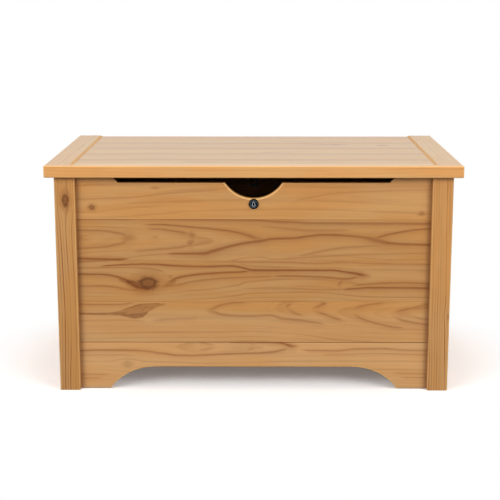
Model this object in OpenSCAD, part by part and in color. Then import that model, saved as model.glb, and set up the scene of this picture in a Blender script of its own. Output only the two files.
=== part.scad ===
// Toy chest in solid pine: four grooved corner posts, walls of tongue-and-groove boards,
// arched aprons, a panelled lid on torsion hinges, and a small cam lock under the hand hole.
// The origin is on the floor, in the middle of the chest. X runs to the right, Y to the back, Z up.

/* [Body] */
// Width over the outsides of the corner posts
body_w = 863; // [700:1:1100]
// Depth over the outsides of the corner posts
body_d = 530; // [440:10:640]
// Height of the corner posts
body_h = 480; // [440:5:540]
// Side of a square corner post
post_w = 45; // [42:1:56]
// Radius on the upright edges of a post
post_edge = 3; // [1:0.5:5]

/* [Walls] */
// Thickness of the wall boards
board_t = 16; // [14:1:20]
// How far the boards stand back from the faces of the posts
recess = 12; // [6:1:14]
// Height of the apron's top edge above the floor
apron_top = 108; // [98:1:120]
// Gap between the arched aprons and the floor
apron_lift = 2; // [1:0.5:6]
// Gap between the plain back apron and the floor
back_lift = 50; // [40:1:54]
// Gap between the top boards and the tops of the posts
rim_drop = 1; // [0.5:0.5:3]
// Small chamfer along the edges of every board
board_edge = 0.6; // [0.2:0.1:1.2]

/* [Apron arch] */
// Height of the arch above the floor
arch_h = 50; // [40:1:54]
// Radius of the curve at each end of the arch
arch_r = 125; // [90:1:140]
// Length of the apron's foot between a post and the arch
arch_foot = 67; // [50:1:80]

/* [Finger gap and hand hole] */
// Length of the top board beside the finger gap, measured from a post
gap_side = 92; // [60:2:160]
// Depth of the finger gap below the lid
gap_h = 15; // [13:0.5:20]
// Radius of the hand hole
grip_r = 73.5; // [66:0.5:90]
// Depth of the hand hole below the finger gap
grip_h = 34.5; // [28:0.5:35]

/* [Lid] */
// How far the lid stands out past the posts at the front and the sides
lid_over = 18.5; // [12:0.5:30]
// Thickness of the lid's front rail and end battens
lid_t = 26; // [22:1:30]
// How far the lid's boards lie below the rail and the battens
lid_inset = 2.5; // [2:0.5:6]
// Depth of the lid's front rail
rail_w = 18; // [16:1:30]
// Depth of the lid's back rail, which the hinges are screwed to
lid_back_w = 34; // [28:1:50]
// Width of an end batten
batten_w = 60; // [50:1:80]
// Radius on the lid's outer corners and edges
lid_edge = 3; // [1:0.5:5]

/* [Joinery] */
// Depth of the grooves in the posts and the battens
groove_d = 10; // [8:1:12]
// Thickness of a tongue
tongue_t = 5; // [4:0.5:6]
// Length of a tongue
tongue_l = 6; // [4:0.5:8]
// Clearance between a tongue and its groove, on each side
joint_gap = 0.2; // [0.1:0.05:0.4]
// Radius of a dowel
dowel_r = 4; // [3:0.5:4]
// Length of a dowel
dowel_l = 36; // [24:1:40]

/* [Floor] */
// Thickness of the floor panel
floor_t = 9; // [6:1:12]
// Height of the floor panel's underside above the floor
floor_z = 76; // [74:1:80]
// Side of the square cleats under the floor panel
cleat_w = 20; // [16:1:24]
// Clearance round the floor panel
floor_gap = 0.5; // [0.3:0.1:1]

/* [Hinges] */
// Length of a hinge
hinge_w = 76; // [66:1:96]
// Distance from an outer hinge to the end of the lid's boards
hinge_in = 62; // [20:2:120]
// Thickness of a hinge leaf
leaf_t = 2; // [1.5:0.5:3]
// Height of the leaf on the back rail
leaf_h = 42; // [38:1:60]
// Radius of the hinge barrel
barrel_r = 7; // [6:0.5:8]
// Length of each end knuckle
knuckle_w = 15; // [12:1:20]
// Radius of the hinge pin
pin_r = 3; // [2.5:0.5:4]
// Clearance between the barrel, the wood and the next knuckle
barrel_gap = 0.5; // [0.4:0.1:1]

/* [Lock] */
// Radius of the lock's round face
rose_r = 11; // [10:0.5:13]
// How far the face stands out from the board
rose_t = 2.5; // [2:0.5:4]
// Wood left between the hand hole and the lock's face
lock_margin = 1; // [1:0.5:5]
// Radius of the threaded barrel
lock_r = 8; // [7.5:0.25:8.5]
// Radius of the turning plug
plug_r = 5.5; // [5:0.25:6]
// Distance from the lock's axis to the middle of the cam's lug
cam_reach = 45; // [40:1:48]
// Width of the cam
cam_w = 14; // [12:1:16]
// Thickness of the cam and of the striker plate
cam_t = 2.5; // [2:0.5:3]

/* [Fasteners] */
// Thickness of the rubber pads under the lid
pad_t = 1.5; // [1:0.5:3]
// Radius of a rubber pad
pad_r = 7; // [5:0.5:9]
// Radius of a screw's shank
screw_r = 1.8; // [1.5:0.1:2]
// Radius of a screw's head
head_r = 3.8; // [3.4:0.1:4]
// How far the cleat screws go into the walls
cleat_bite = 10; // [8:0.5:12]
// How far the hinge screws go into the wood
hinge_bite = 16; // [12:1:18]
// How far the striker screws go into the lid
striker_bite = 11; // [9:0.5:14]
// Clearance round screws, dowels and pins in their holes
bore_gap = 0.1; // [0.05:0.01:0.15]
// Running clearance round turning pins and plugs
run_gap = 0.05; // [0.02:0.01:0.1]

/* [Hidden] */
$fn = 64;
eps = 1;                 // how far a cut runs past the face it opens
wall_boards = 4;         // boards stacked above each apron
lid_boards = 5;          // boards side by side in the lid
pine = "#c8935a";
pine_light = "#d6ab78";
beech = "#d9b98c";
ply = "#cfae80";
black = "#20242a";
steel = "#9a9da1";
rubber = "#33312f";
nylon = "#d8d4c8";

// Main places, measured from the middle of the whole chest on the floor
axis_off = barrel_r + barrel_gap;            // hinge axis behind the back faces of the posts
y_front = -(body_d + axis_off + barrel_r - lid_over) / 2;
y_back = y_front + body_d;
x_side = body_w / 2;
inner_x = x_side - post_w;                   // inner faces of the posts
inner_y = body_d - 2 * post_w;               // clear depth between the posts
wall_in = recess + board_t;                  // inner face of a wall behind the post faces
wall_mid = recess + board_t / 2;
wall_top = body_h - rim_drop;
board_h = (wall_top - apron_top) / wall_boards;
rail_z = apron_top + (wall_boards - 1) * board_h;
lid_z = body_h + pad_t;                      // underside of the lid
panel_t = lid_t - lid_inset;
lid_w = body_w + 2 * lid_over;
lid_tongue_z = lid_z + (panel_t - tongue_t) / 2;
lid_y = y_front - lid_over;                  // front face of the lid
rail_y = lid_y + rail_w;                     // back face of the front rail
lid_board_w = (y_back - lid_back_w - rail_y) / lid_boards;
panel_x = lid_w / 2 - batten_w;              // inner edge of a batten
axis_y = y_back + axis_off;

// Walls between the posts: length of a board from groove to groove
front_l = 2 * (inner_x + groove_d - joint_gap);
side_l = inner_y + 2 * (groove_d - joint_gap);

// Dowels come in pairs, in the aprons and in the top boards. Those of the side walls lie
// halfway between those of the front and the back, which they cross in the posts
dowel_step = 26;
dowel_in = 16;                               // from the top edge of a board to its first dowel
front_dowels = [for (top = [apron_top, wall_top], i = [0, 1]) top - dowel_in - i * dowel_step];
side_dowels = [for (z = front_dowels) z - dowel_step / 2];

// Finger gap and hand hole
gap_z = lid_z - gap_h;
gap_x = inner_x - gap_side;                  // half the gap's width at its bottom edge
grip_z = gap_z - grip_h;                     // lowest point of the hand hole
grip_cz = grip_z + grip_r;

// Lock
lock_z = grip_z - lock_margin - rose_r;
wall_back_y = y_front + wall_in;             // inner face of the front wall
nut_t = 3;
nut_r = lock_r + 4;
barrel_tail = nut_t + 2;                     // barrel behind the front wall
lock_len = rose_t + board_t + barrel_tail;
cam_gap = 0.3;
cam_y = wall_back_y + barrel_tail + cam_gap;
lug_w = 5;
lug_h = 6;
lug_l = cam_t + 4;
strike_y = cam_y + cam_t + 1;                // front of the striker plate
strike_w = 18;
notch_gap = 1.5;
strike_lip = 6;                              // plate left below the notch
strike_h = lid_z - (lock_z + cam_reach) + lug_h / 2 + notch_gap + strike_lip;
flange_d = 22;
flange_w = 40;
tail_s = 5;                                  // square tail that carries the cam
collar = 1;                                  // collar that keeps the plug from sliding inwards
collar_d = 2;
cam_screw_r = 1.5;
cam_screw_l = 7;                             // length of the cam screw in the plug

// Hinges
leaf_clear = barrel_r + 1.5;                 // a leaf keeps this far from the other leaf's knuckles
hinge_pitch = panel_x - hinge_in - hinge_w / 2;
hinge_xs = [-hinge_pitch, 0, hinge_pitch];
lid_leaf_h = panel_t - 1;
middle_w = hinge_w - 2 * (knuckle_w + barrel_gap);
sleeve_r = pin_r + 1.5;
pin_head = 2.5;
leaf_screw_x = hinge_w / 2 - 10;

// Floor: the side cleats stop clear of the posts and of the other two cleats
side_cleat_l = body_d - 2 * max(post_w, wall_in + cleat_w + floor_gap);
floor_screws = 4;
side_screws = 3;

// Rectangle with round corners
module round_rect(w, d, r) {
    translate([r, 0]) square([w - 2 * r, d]);
    translate([0, r]) square([w, d - 2 * r]);
    for (x = [r, w - r], y = [r, d - r]) translate([x, y]) circle(r);
}

// Lays a profile drawn in Y and Z along X, centred on X
module along_x(length) {
    rotate([90, 0, 90]) linear_extrude(length, center = true) children();
}

// Section of a board: thickness along the first axis, width along the second
module board_section(t, w, tongue, groove) {
    e = board_edge;
    difference() {
        polygon([[e, 0], [t - e, 0], [t, e], [t, w - e], [t - e, w], [e, w], [0, w - e], [0, e]]);
        if (groove)
            translate([(t - tongue_t) / 2 - joint_gap, -eps])
                square([tongue_t + 2 * joint_gap, tongue_l + joint_gap + eps]);
    }
    if (tongue)
        translate([(t - tongue_t) / 2, w - eps]) square([tongue_t, tongue_l + eps]);
}

// One dowel along X, and the hole for one
module dowel(gap = 0) {
    rotate([0, 90, 0]) cylinder(r = dowel_r + gap, h = dowel_l + 2 * gap, center = true);
}

// Wood screw whose head is flush with Z = 0 and whose point is down
module screw_shape(length, gap = 0) {
    head_h = head_r - screw_r;
    point_l = 2 * screw_r;
    translate([0, 0, -head_h]) cylinder(r1 = screw_r + gap, r2 = head_r + gap, h = head_h);
    translate([0, 0, point_l - length]) cylinder(r = screw_r + gap, h = length - point_l);
    translate([0, 0, -length - gap]) cylinder(r1 = 0.3 + gap, r2 = screw_r + gap, h = point_l + gap);
}

module wood_screw(length) {
    slot_w = 0.9;
    slot_d = 1.1;
    difference() {
        screw_shape(length);
        for (a = [0, 90])
            rotate(a) translate([-head_r * 0.6, -slot_w / 2, -slot_d])
                cube([head_r * 1.2, slot_w, slot_d + eps]);
    }
}

module screw_hole(length) {
    screw_shape(length, bore_gap);
    cylinder(r = head_r + bore_gap, h = eps);
}

// Corner post with its outer corner at the origin, its walls leaving along +X and +Y
module post_blank() {
    groove_w = board_t + 2 * joint_gap;
    difference() {
        linear_extrude(body_h) round_rect(post_w, post_w, post_edge);
        translate([post_w - groove_d, recess - joint_gap, -eps])
            cube([groove_d + eps, groove_w, body_h + 2 * eps]);
        translate([recess - joint_gap, post_w - groove_d, -eps])
            cube([groove_w, groove_d + eps, body_h + 2 * eps]);
        for (z = front_dowels)
            translate([post_w - groove_d, wall_mid, z]) dowel(bore_gap);
        for (z = side_dowels)
            translate([wall_mid, post_w - groove_d, z]) rotate(90) dowel(bore_gap);
    }
}

module post(left, front) {
    color(pine)
        translate([left ? -x_side : x_side, front ? y_front : y_back, 0])
            mirror([left ? 0 : 1, 0, 0]) mirror([0, front ? 0 : 1, 0]) post_blank();
}

// Holes for the dowels in both ends of a wall board that is drawn along X
module end_holes(length, heights) {
    for (side = [-1, 1], z = heights)
        translate([side * length / 2, board_t / 2, z]) dowel(bore_gap);
}

// Wall board along X, its outer face at Y = 0 and its bottom edge at Z = 0
module wall_board(length, height, tongue = true, groove = true) {
    along_x(length) board_section(board_t, height, tongue, groove);
}

// The opening under an apron: a flat top that runs down in an arc at each end
module arch_cut(span) {
    arch_low = arch_r - arch_h + apron_lift;
    reach = sqrt(arch_r * arch_r - arch_low * arch_low);
    flat_w = span - 2 * (arch_foot + reach);
    translate([0, -eps, 0]) rotate([90, 0, 0]) mirror([0, 0, 1])
        linear_extrude(board_t + 2 * eps) {
            translate([-flat_w / 2, -eps]) square([flat_w, arch_h + eps]);
            for (side = [-1, 1])
                translate([side * flat_w / 2, arch_h - arch_r]) circle(arch_r, $fn = 128);
        }
}

module apron(length, span, lift, arched) {
    difference() {
        translate([0, 0, lift]) wall_board(length, apron_top - lift, groove = false);
        if (arched) arch_cut(span);
    }
}

// Puts a wall drawn along X, outer face at Y = 0, in its place
module on_front() { translate([0, y_front + recess, 0]) children(); }
module on_back() { translate([0, y_back - recess, 0]) rotate(180) children(); }
module on_side(left) {
    translate([left ? recess - x_side : x_side - recess, (y_front + y_back) / 2, 0])
        rotate(left ? -90 : 90) children();
}

// Screws of a cleat: spread evenly over its length, their heads on its inner face
module cleat_places(span, count) {
    for (i = [0 : count - 1])
        translate([(i + 0.5) * span / count - span / 2, board_t + cleat_w, floor_z - cleat_w / 2])
            rotate([-90, 0, 0]) children();
}
module cleat_holes(span, count) {
    cleat_places(span, count) screw_hole(cleat_w + cleat_bite);
}

// Board number i above an apron, counted from 1
module stacked_board(length, i, heights) {
    bottom = apron_top + (i - 1) * board_h;
    difference() {
        translate([0, 0, bottom]) wall_board(length, board_h, tongue = i < wall_boards);
        end_holes(length, [for (z = heights) if (z > bottom && z < bottom + board_h) z]);
    }
}

module front_apron() {
    color(pine) on_front() difference() {
        apron(front_l, 2 * inner_x, apron_lift, true);
        end_holes(front_l, [for (z = front_dowels) if (z < apron_top) z]);
        cleat_holes(2 * inner_x, floor_screws);
    }
}

module front_board(i) {
    color(pine) on_front() difference() {
        stacked_board(front_l, i, front_dowels);
        if (i == wall_boards) {
            rim_cut();
            translate([0, -eps, lock_z]) rotate([-90, 0, 0])
                cylinder(r = lock_r + bore_gap, h = board_t + 2 * eps);
        }
    }
}

// Finger gap with slanted ends, and the round hand hole below it
module rim_cut() {
    rim_h = wall_top - gap_z;
    translate([0, -eps, 0]) rotate([90, 0, 0]) mirror([0, 0, 1]) linear_extrude(board_t + 2 * eps) {
        polygon([[-gap_x, gap_z], [gap_x, gap_z],
                 [gap_x + rim_h + eps, wall_top + eps], [-gap_x - rim_h - eps, wall_top + eps]]);
        intersection() {
            translate([0, grip_cz]) circle(grip_r, $fn = 128);
            translate([-grip_r, grip_z - eps]) square([2 * grip_r, gap_z - grip_z + 2 * eps]);
        }
    }
}

module side_apron(left) {
    color(pine) on_side(left) difference() {
        apron(side_l, inner_y, apron_lift, true);
        end_holes(side_l, [for (z = side_dowels) if (z < apron_top) z]);
        cleat_holes(side_cleat_l, side_screws);
    }
}

module side_board(left, i) {
    color(pine) on_side(left) stacked_board(side_l, i, side_dowels);
}

module back_apron() {
    color(pine) on_back() difference() {
        apron(front_l, 2 * inner_x, back_lift, false);
        end_holes(front_l, [for (z = front_dowels) if (z < apron_top) z]);
        cleat_holes(2 * inner_x, floor_screws);
    }
}

module back_board(i) {
    color(pine) on_back() stacked_board(front_l, i, front_dowels);
}

// Back rail, thick enough to lie flush with the backs of the posts, where the hinges are fixed
module back_rail() {
    color(pine) difference() {
        union() {
            on_back() translate([0, 0, rail_z]) wall_board(front_l, board_h, tongue = false);
            translate([-inner_x + joint_gap, y_back - recess - eps, rail_z])
                cube([2 * (inner_x - joint_gap), recess + eps, board_h]);
        }
        on_back() end_holes(front_l, [for (z = front_dowels) if (z > rail_z) z]);
        each_hinge() body_leaf_screws() screw_hole(leaf_t + hinge_bite);
    }
}

module floor_panel() {
    wide = 2 * (x_side - wall_in - floor_gap);
    deep = body_d - 2 * (wall_in + floor_gap);
    notch = post_w - wall_in;
    color(ply) translate([0, (y_front + y_back) / 2, floor_z]) linear_extrude(floor_t) difference() {
        square([wide, deep], center = true);
        for (x = [-1, 1], y = [-1, 1])
            translate([x * wide / 2, y * deep / 2]) square(2 * notch, center = true);
    }
}

module cleat_blank(span, count) {
    difference() {
        translate([-span / 2, board_t, floor_z - cleat_w]) cube([span, cleat_w, cleat_w]);
        cleat_holes(span, count);
    }
}
module cleat_front() { color(pine_light) on_front() cleat_blank(2 * inner_x, floor_screws); }
module cleat_back() { color(pine_light) on_back() cleat_blank(2 * inner_x, floor_screws); }
module cleat_side(left) { color(pine_light) on_side(left) cleat_blank(side_cleat_l, side_screws); }

module cleat_screws() {
    color(steel) {
        on_front() cleat_places(2 * inner_x, floor_screws) wood_screw(cleat_w + cleat_bite);
        on_back() cleat_places(2 * inner_x, floor_screws) wood_screw(cleat_w + cleat_bite);
        for (left = [true, false])
            on_side(left) cleat_places(side_cleat_l, side_screws) wood_screw(cleat_w + cleat_bite);
    }
}

module wall_dowels() {
    color(beech) {
        for (x = [-1, 1], y = [y_front + wall_mid, y_back - wall_mid], z = front_dowels)
            translate([x * (inner_x + groove_d), y, z]) dowel();
        for (x = [-1, 1], y = [y_front + post_w - groove_d, y_back - post_w + groove_d], z = side_dowels)
            translate([x * (x_side - wall_mid), y, z]) rotate(90) dowel();
    }
}

// Rubber pads on the tops of the posts, which the lid closes on
module lid_pads() {
    color(rubber)
        for (x = [-1, 1], y = [y_front + post_w / 2, y_back - post_w / 2])
            translate([x * (x_side - post_w / 2), y, body_h]) cylinder(r = pad_r, h = pad_t);
}

// Hinge parts, drawn round the hinge axis: the wood's face lies at Y = -axis_off
module knuckle(x, length) {
    translate([x, 0, 0]) rotate([0, 90, 0]) cylinder(r = barrel_r, h = length, center = true);
}
module each_hinge() {
    for (x = hinge_xs) translate([x, axis_y, lid_z]) children();
}
module pin_bore(r) {
    rotate([0, 90, 0]) cylinder(r = r, h = hinge_w + 2 * eps, center = true);
}
module body_leaf_screws() {
    drop = leaf_clear + head_r + 3;
    for (p = [[-leaf_screw_x, -drop], [leaf_screw_x, -drop], [0, -leaf_h + head_r + 3]])
        translate([p[0], -axis_off + leaf_t, p[1]]) rotate([-90, 0, 0]) children();
}
module lid_leaf_screws() {
    rise = (leaf_clear + lid_leaf_h) / 2;
    for (x = [-leaf_screw_x, 0, leaf_screw_x])
        translate([x, -axis_off + leaf_t, rise]) rotate([-90, 0, 0]) children();
}
module hinge_body_leaf(x) {
    end_x = (hinge_w - knuckle_w) / 2;
    color(black) translate([x, axis_y, lid_z]) difference() {
        union() {
            translate([-hinge_w / 2, -axis_off, -leaf_h]) cube([hinge_w, leaf_t, leaf_h - leaf_clear]);
            for (side = [-1, 1]) {
                knuckle(side * end_x, knuckle_w);
                translate([side * end_x - knuckle_w / 2, -axis_off, -leaf_clear - eps])
                    cube([knuckle_w, leaf_t, leaf_clear + eps - barrel_gap]);
            }
        }
        pin_bore(pin_r + run_gap);
        body_leaf_screws() screw_hole(leaf_t + hinge_bite);
    }
}
module hinge_lid_leaf(x) {
    color(black) translate([x, axis_y, lid_z]) difference() {
        union() {
            translate([-hinge_w / 2, -axis_off, leaf_clear])
                cube([hinge_w, leaf_t, lid_leaf_h - leaf_clear]);
            knuckle(0, middle_w);
            translate([-middle_w / 2, -axis_off, barrel_gap])
                cube([middle_w, leaf_t, leaf_clear + eps - barrel_gap]);
        }
        pin_bore(sleeve_r + bore_gap);
        lid_leaf_screws() screw_hole(leaf_t + hinge_bite);
    }
}
module hinge_pins() {
    color(steel) each_hinge() {
        rotate([0, 90, 0]) cylinder(r = pin_r, h = hinge_w, center = true);
        for (side = [-1, 1])
            translate([side * (hinge_w + pin_head) / 2, 0, 0]) rotate([0, 90, 0])
                cylinder(r = barrel_r - 1, h = pin_head, center = true);
    }
}
// Friction sleeves that grip the pins, so that the lid stays where it is put
module hinge_sleeves() {
    color(nylon) each_hinge() difference() {
        rotate([0, 90, 0]) cylinder(r = sleeve_r, h = middle_w, center = true);
        pin_bore(pin_r + run_gap);
    }
}
module hinge_body_screws() {
    color(steel) each_hinge() body_leaf_screws() wood_screw(leaf_t + hinge_bite);
}
module hinge_lid_screws() {
    color(steel) each_hinge() lid_leaf_screws() wood_screw(leaf_t + hinge_bite);
}

// Lid: a rectangle with its two corners at X = 0 rounded
module rounded_side(w, h, r) {
    translate([r, 0]) square([w - r, h]);
    translate([0, r]) square([w, h - 2 * r]);
    for (y = [r, h - r]) translate([r, y]) circle(r);
}
// Lays a profile drawn in X and Z along Y, from Y = 0 to the back
module along_y(length) {
    rotate([90, 0, 0]) mirror([0, 0, 1]) linear_extrude(length) children();
}
// Dowels that stop short of the rail's front face
module lid_dowel_places() {
    span = batten_w - groove_d;
    rail_skin = 6;
    mid_y = lid_y + rail_skin + dowel_l / 2;
    for (side = [-1, 1], part = [0.3, 0.7])
        translate([side * (panel_x + groove_d + part * span), mid_y, lid_z + lid_t / 2])
            rotate(90) children();
}
module lid_front_rail() {
    color(pine_light) difference() {
        translate([0, lid_y, lid_z]) intersection() {
            along_x(lid_w) rounded_side(rail_w, lid_t, lid_edge);
            translate([-lid_w / 2, 0, 0]) along_y(rail_w) round_rect(lid_w, lid_t, lid_edge);
            translate([-lid_w / 2, 0, 0]) linear_extrude(lid_t) {
                round_rect(lid_w, rail_w, lid_edge);
                translate([0, rail_w / 2]) square([lid_w, rail_w / 2]);
            }
        }
        along_x(2 * (panel_x + groove_d + joint_gap))
            translate([rail_y - tongue_l - joint_gap, lid_tongue_z - joint_gap])
                square([tongue_l + joint_gap + eps, tongue_t + 2 * joint_gap]);
        lid_dowel_places() dowel(bore_gap);
    }
}
module lid_batten(left) {
    length = y_back - rail_y;
    color(pine_light) difference() {
        mirror([left ? 0 : 1, 0, 0]) translate([-lid_w / 2, rail_y, lid_z])
            along_y(length) rounded_side(batten_w, lid_t, lid_edge);
        translate([-panel_x - groove_d, rail_y - eps, lid_tongue_z - joint_gap])
            cube([2 * (panel_x + groove_d), length + 2 * eps, tongue_t + 2 * joint_gap]);
        lid_dowel_places() dowel(bore_gap);
    }
}
// Board of the lid: a tongue to the front and one at each end, and a groove to the back
module lid_slat(front, width, groove) {
    tongue_w = groove ? width - joint_gap : width + tongue_l;
    translate([0, front, 0]) {
        along_x(2 * panel_x)
            translate([width, lid_z]) rotate(90) board_section(panel_t, width, true, groove);
        along_x(2 * (panel_x + groove_d - joint_gap))
            translate([-tongue_l, lid_tongue_z]) square([tongue_w, tongue_t]);
    }
}
module lid_board(i) {
    color(pine_light) difference() {
        lid_slat(rail_y + (i - 1) * lid_board_w, lid_board_w, true);
        if (i == 1) striker_places() screw_hole(cam_t + striker_bite);
    }
}
module lid_back_rail() {
    color(pine_light) difference() {
        lid_slat(y_back - lid_back_w, lid_back_w, false);
        each_hinge() lid_leaf_screws() screw_hole(leaf_t + hinge_bite);
    }
}
module lid_dowels() { color(beech) lid_dowel_places() dowel(); }

// Lock
module lock_housing() {
    flat_r = lock_r - 1;
    barrel_l = board_t + barrel_tail;
    rim = 1;
    color(black) translate([0, y_front + recess, lock_z]) rotate([-90, 0, 0]) difference() {
        union() {
            translate([0, 0, -rose_t]) cylinder(r1 = rose_r - rim, r2 = rose_r, h = rim);
            translate([0, 0, rim - rose_t]) cylinder(r = rose_r, h = rose_t - rim);
            translate([0, 0, -eps]) linear_extrude(barrel_l + eps) intersection() {
                circle(lock_r);
                square([2 * lock_r, 2 * flat_r], center = true);
            }
        }
        translate([0, 0, -rose_t - eps]) cylinder(r = plug_r + run_gap, h = lock_len + 2 * eps);
        translate([0, 0, -rose_t - eps]) cylinder(r = plug_r + collar + run_gap, h = collar_d + eps);
    }
}
module lock_nut() {
    color(steel) translate([0, wall_back_y, lock_z]) rotate([-90, 0, 0]) difference() {
        cylinder(r = nut_r, h = nut_t, $fn = 6);
        translate([0, 0, -eps]) cylinder(r = lock_r + bore_gap, h = nut_t + 2 * eps);
    }
}
module lock_plug() {
    key_w = 1.6;
    key_h = 6.5;
    key_d = 9;
    set_in = 0.6;
    hole_l = cam_screw_l + 1;
    color(black) translate([0, y_front + recess - rose_t, lock_z]) rotate([-90, 0, 0]) difference() {
        union() {
            translate([0, 0, set_in]) cylinder(r = plug_r + collar, h = collar_d - set_in);
            translate([0, 0, set_in]) cylinder(r = plug_r, h = lock_len - set_in + cam_gap);
            translate([-tail_s / 2, -tail_s / 2, lock_len]) cube([tail_s, tail_s, cam_gap + cam_t - 0.2]);
        }
        translate([-key_w / 2, -key_h / 2, -eps]) cube([key_w, key_h, key_d + eps]);
        translate([0, 0, lock_len + cam_gap - hole_l])
            cylinder(r = cam_screw_r + bore_gap, h = hole_l + cam_t + eps);
    }
}
// Cam at rest: it points to the left, with its lug turned in towards the striker plate
module lock_cam() {
    color(steel) translate([0, cam_y, lock_z]) rotate([-90, 0, 0]) difference() {
        union() {
            cylinder(r = cam_w / 2, h = cam_t);
            translate([-cam_reach, -cam_w / 2, 0]) cube([cam_reach, cam_w, cam_t]);
            translate([-cam_reach, 0, 0]) intersection() {
                translate([-lug_h / 2, -cam_w / 2, 0]) cube([lug_h, cam_w, cam_t]);
                cylinder(r = cam_w / 2, h = cam_t);
            }
            translate([-cam_reach - lug_h / 2, -lug_w / 2, 0]) cube([lug_h, lug_w, cam_t + lug_l]);
        }
        translate([-tail_s / 2 - bore_gap, -tail_s / 2 - bore_gap, -eps])
            cube([tail_s + 2 * bore_gap, tail_s + 2 * bore_gap, cam_t + 2 * eps]);
    }
}
module lock_cam_screw() {
    head_d = 9;
    head_h = 2;
    slot_l = 5;
    slot_w = 1;
    color(steel) translate([0, cam_y + cam_t, lock_z]) rotate([-90, 0, 0]) difference() {
        union() {
            cylinder(r = head_d / 2, h = head_h);
            translate([0, 0, -cam_t - cam_screw_l]) cylinder(r = cam_screw_r, h = cam_t + cam_screw_l + eps);
        }
        for (a = [0, 90])
            rotate(a) translate([-slot_l / 2, -slot_w / 2, head_h / 2]) cube([slot_l, slot_w, head_h]);
    }
}

// Striker: a plate that hangs from the lid, open on the left for the cam's lug
module striker_places() {
    for (x = [-1, 1])
        translate([x * (flange_w / 2 - head_r - 3), strike_y + cam_t + flange_d / 2, lid_z - cam_t])
            rotate([180, 0, 0]) children();
}
module lock_striker() {
    lug_low = sqrt(pow(cam_reach - lug_h / 2, 2) - pow(strike_w / 2, 2)) - notch_gap;
    lug_high = cam_reach + lug_h / 2 + notch_gap;
    color(black) difference() {
        union() {
            translate([-strike_w / 2, strike_y, lid_z - strike_h]) cube([strike_w, cam_t, strike_h]);
            translate([-flange_w / 2, strike_y, lid_z - cam_t]) cube([flange_w, flange_d + cam_t, cam_t]);
        }
        translate([-strike_w / 2 - eps, strike_y - eps, lock_z + lug_low])
            cube([strike_w / 2 + eps + lug_w / 2 + notch_gap, cam_t + 2 * eps, lug_high - lug_low]);
        striker_places() screw_hole(cam_t + striker_bite);
    }
}
module striker_screws() { color(steel) striker_places() wood_screw(cam_t + striker_bite); }

post(true, true);  // post_front_left
post(false, true);  // post_front_right
post(true, false);  // post_back_left
post(false, false);  // post_back_right
front_apron();
front_board(1);  // front_board_1
front_board(2);  // front_board_2
front_board(3);  // front_board_3
front_board(4);  // front_board_4
side_apron(true);  // left_apron
side_board(true, 1);  // left_board_1
side_board(true, 2);  // left_board_2
side_board(true, 3);  // left_board_3
side_board(true, 4);  // left_board_4
side_apron(false);  // right_apron
side_board(false, 1);  // right_board_1
side_board(false, 2);  // right_board_2
side_board(false, 3);  // right_board_3
side_board(false, 4);  // right_board_4
back_apron();
back_board(1);  // back_board_1
back_board(2);  // back_board_2
back_board(3);  // back_board_3
back_rail();
floor_panel();
cleat_front();
cleat_back();
cleat_side(true);  // cleat_left
cleat_side(false);  // cleat_right
cleat_screws();
wall_dowels();
lid_pads();
lock_housing();
lock_nut();
hinge_body_leaf(hinge_xs[0]);  // hinge_left_body_leaf
hinge_body_leaf(hinge_xs[1]);  // hinge_middle_body_leaf
hinge_body_leaf(hinge_xs[2]);  // hinge_right_body_leaf
hinge_pins();
hinge_body_screws();
lid_front_rail();
lid_batten(true);  // lid_batten_left
lid_batten(false);  // lid_batten_right
lid_board(1);  // lid_board_1
lid_board(2);  // lid_board_2
lid_board(3);  // lid_board_3
lid_board(4);  // lid_board_4
lid_board(5);  // lid_board_5
lid_back_rail();
lid_dowels();
hinge_lid_leaf(hinge_xs[0]);  // hinge_left_lid_leaf
hinge_lid_leaf(hinge_xs[1]);  // hinge_middle_lid_leaf
hinge_lid_leaf(hinge_xs[2]);  // hinge_right_lid_leaf
hinge_sleeves();
hinge_lid_screws();
lock_striker();
striker_screws();
lock_plug();
lock_cam();
lock_cam_screw();
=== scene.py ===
import math
import random

import bmesh
import bpy
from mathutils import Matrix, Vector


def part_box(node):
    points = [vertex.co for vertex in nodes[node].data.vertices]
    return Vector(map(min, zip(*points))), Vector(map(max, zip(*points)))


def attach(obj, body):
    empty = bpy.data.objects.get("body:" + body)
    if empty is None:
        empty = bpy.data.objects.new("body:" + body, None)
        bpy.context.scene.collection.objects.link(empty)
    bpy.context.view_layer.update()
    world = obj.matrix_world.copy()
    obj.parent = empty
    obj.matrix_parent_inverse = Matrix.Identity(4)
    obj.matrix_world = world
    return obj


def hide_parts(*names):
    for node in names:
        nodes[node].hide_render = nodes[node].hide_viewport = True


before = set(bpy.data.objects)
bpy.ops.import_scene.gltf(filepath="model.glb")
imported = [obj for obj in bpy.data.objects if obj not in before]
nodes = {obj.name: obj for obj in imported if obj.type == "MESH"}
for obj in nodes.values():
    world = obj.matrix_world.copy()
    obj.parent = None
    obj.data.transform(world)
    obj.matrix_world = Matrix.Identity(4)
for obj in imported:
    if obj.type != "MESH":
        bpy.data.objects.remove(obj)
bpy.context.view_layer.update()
bpy.ops.object.select_all(action="DESELECT")
print("frame loaded:", len(nodes), "nodes")


# Node helpers: a value is a number, a colour or another node's socket

def feed(tree, socket, value):
    if isinstance(value, bpy.types.NodeSocket):
        tree.links.new(value, socket)
    else:
        socket.default_value = value


def newNode(tree, kind, *values, **settings):
    node = tree.nodes.new("ShaderNode" + kind)
    for setting, value in settings.items():
        setattr(node, setting, value)
    for socket, value in zip(node.inputs, values):
        feed(tree, socket, value)
    return node


def calc(tree, operation, *values):
    return newNode(tree, "Math", *values, operation=operation).outputs[0]


def times(tree, product, *others):
    for value in others:
        product = calc(tree, "MULTIPLY", product, value)
    return product


# Noise swings about its middle, 0.5
def swing(tree, value, amount, level=0.0):
    return calc(tree, "MULTIPLY_ADD", calc(tree, "SUBTRACT", value, 0.5), amount, level)


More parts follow.
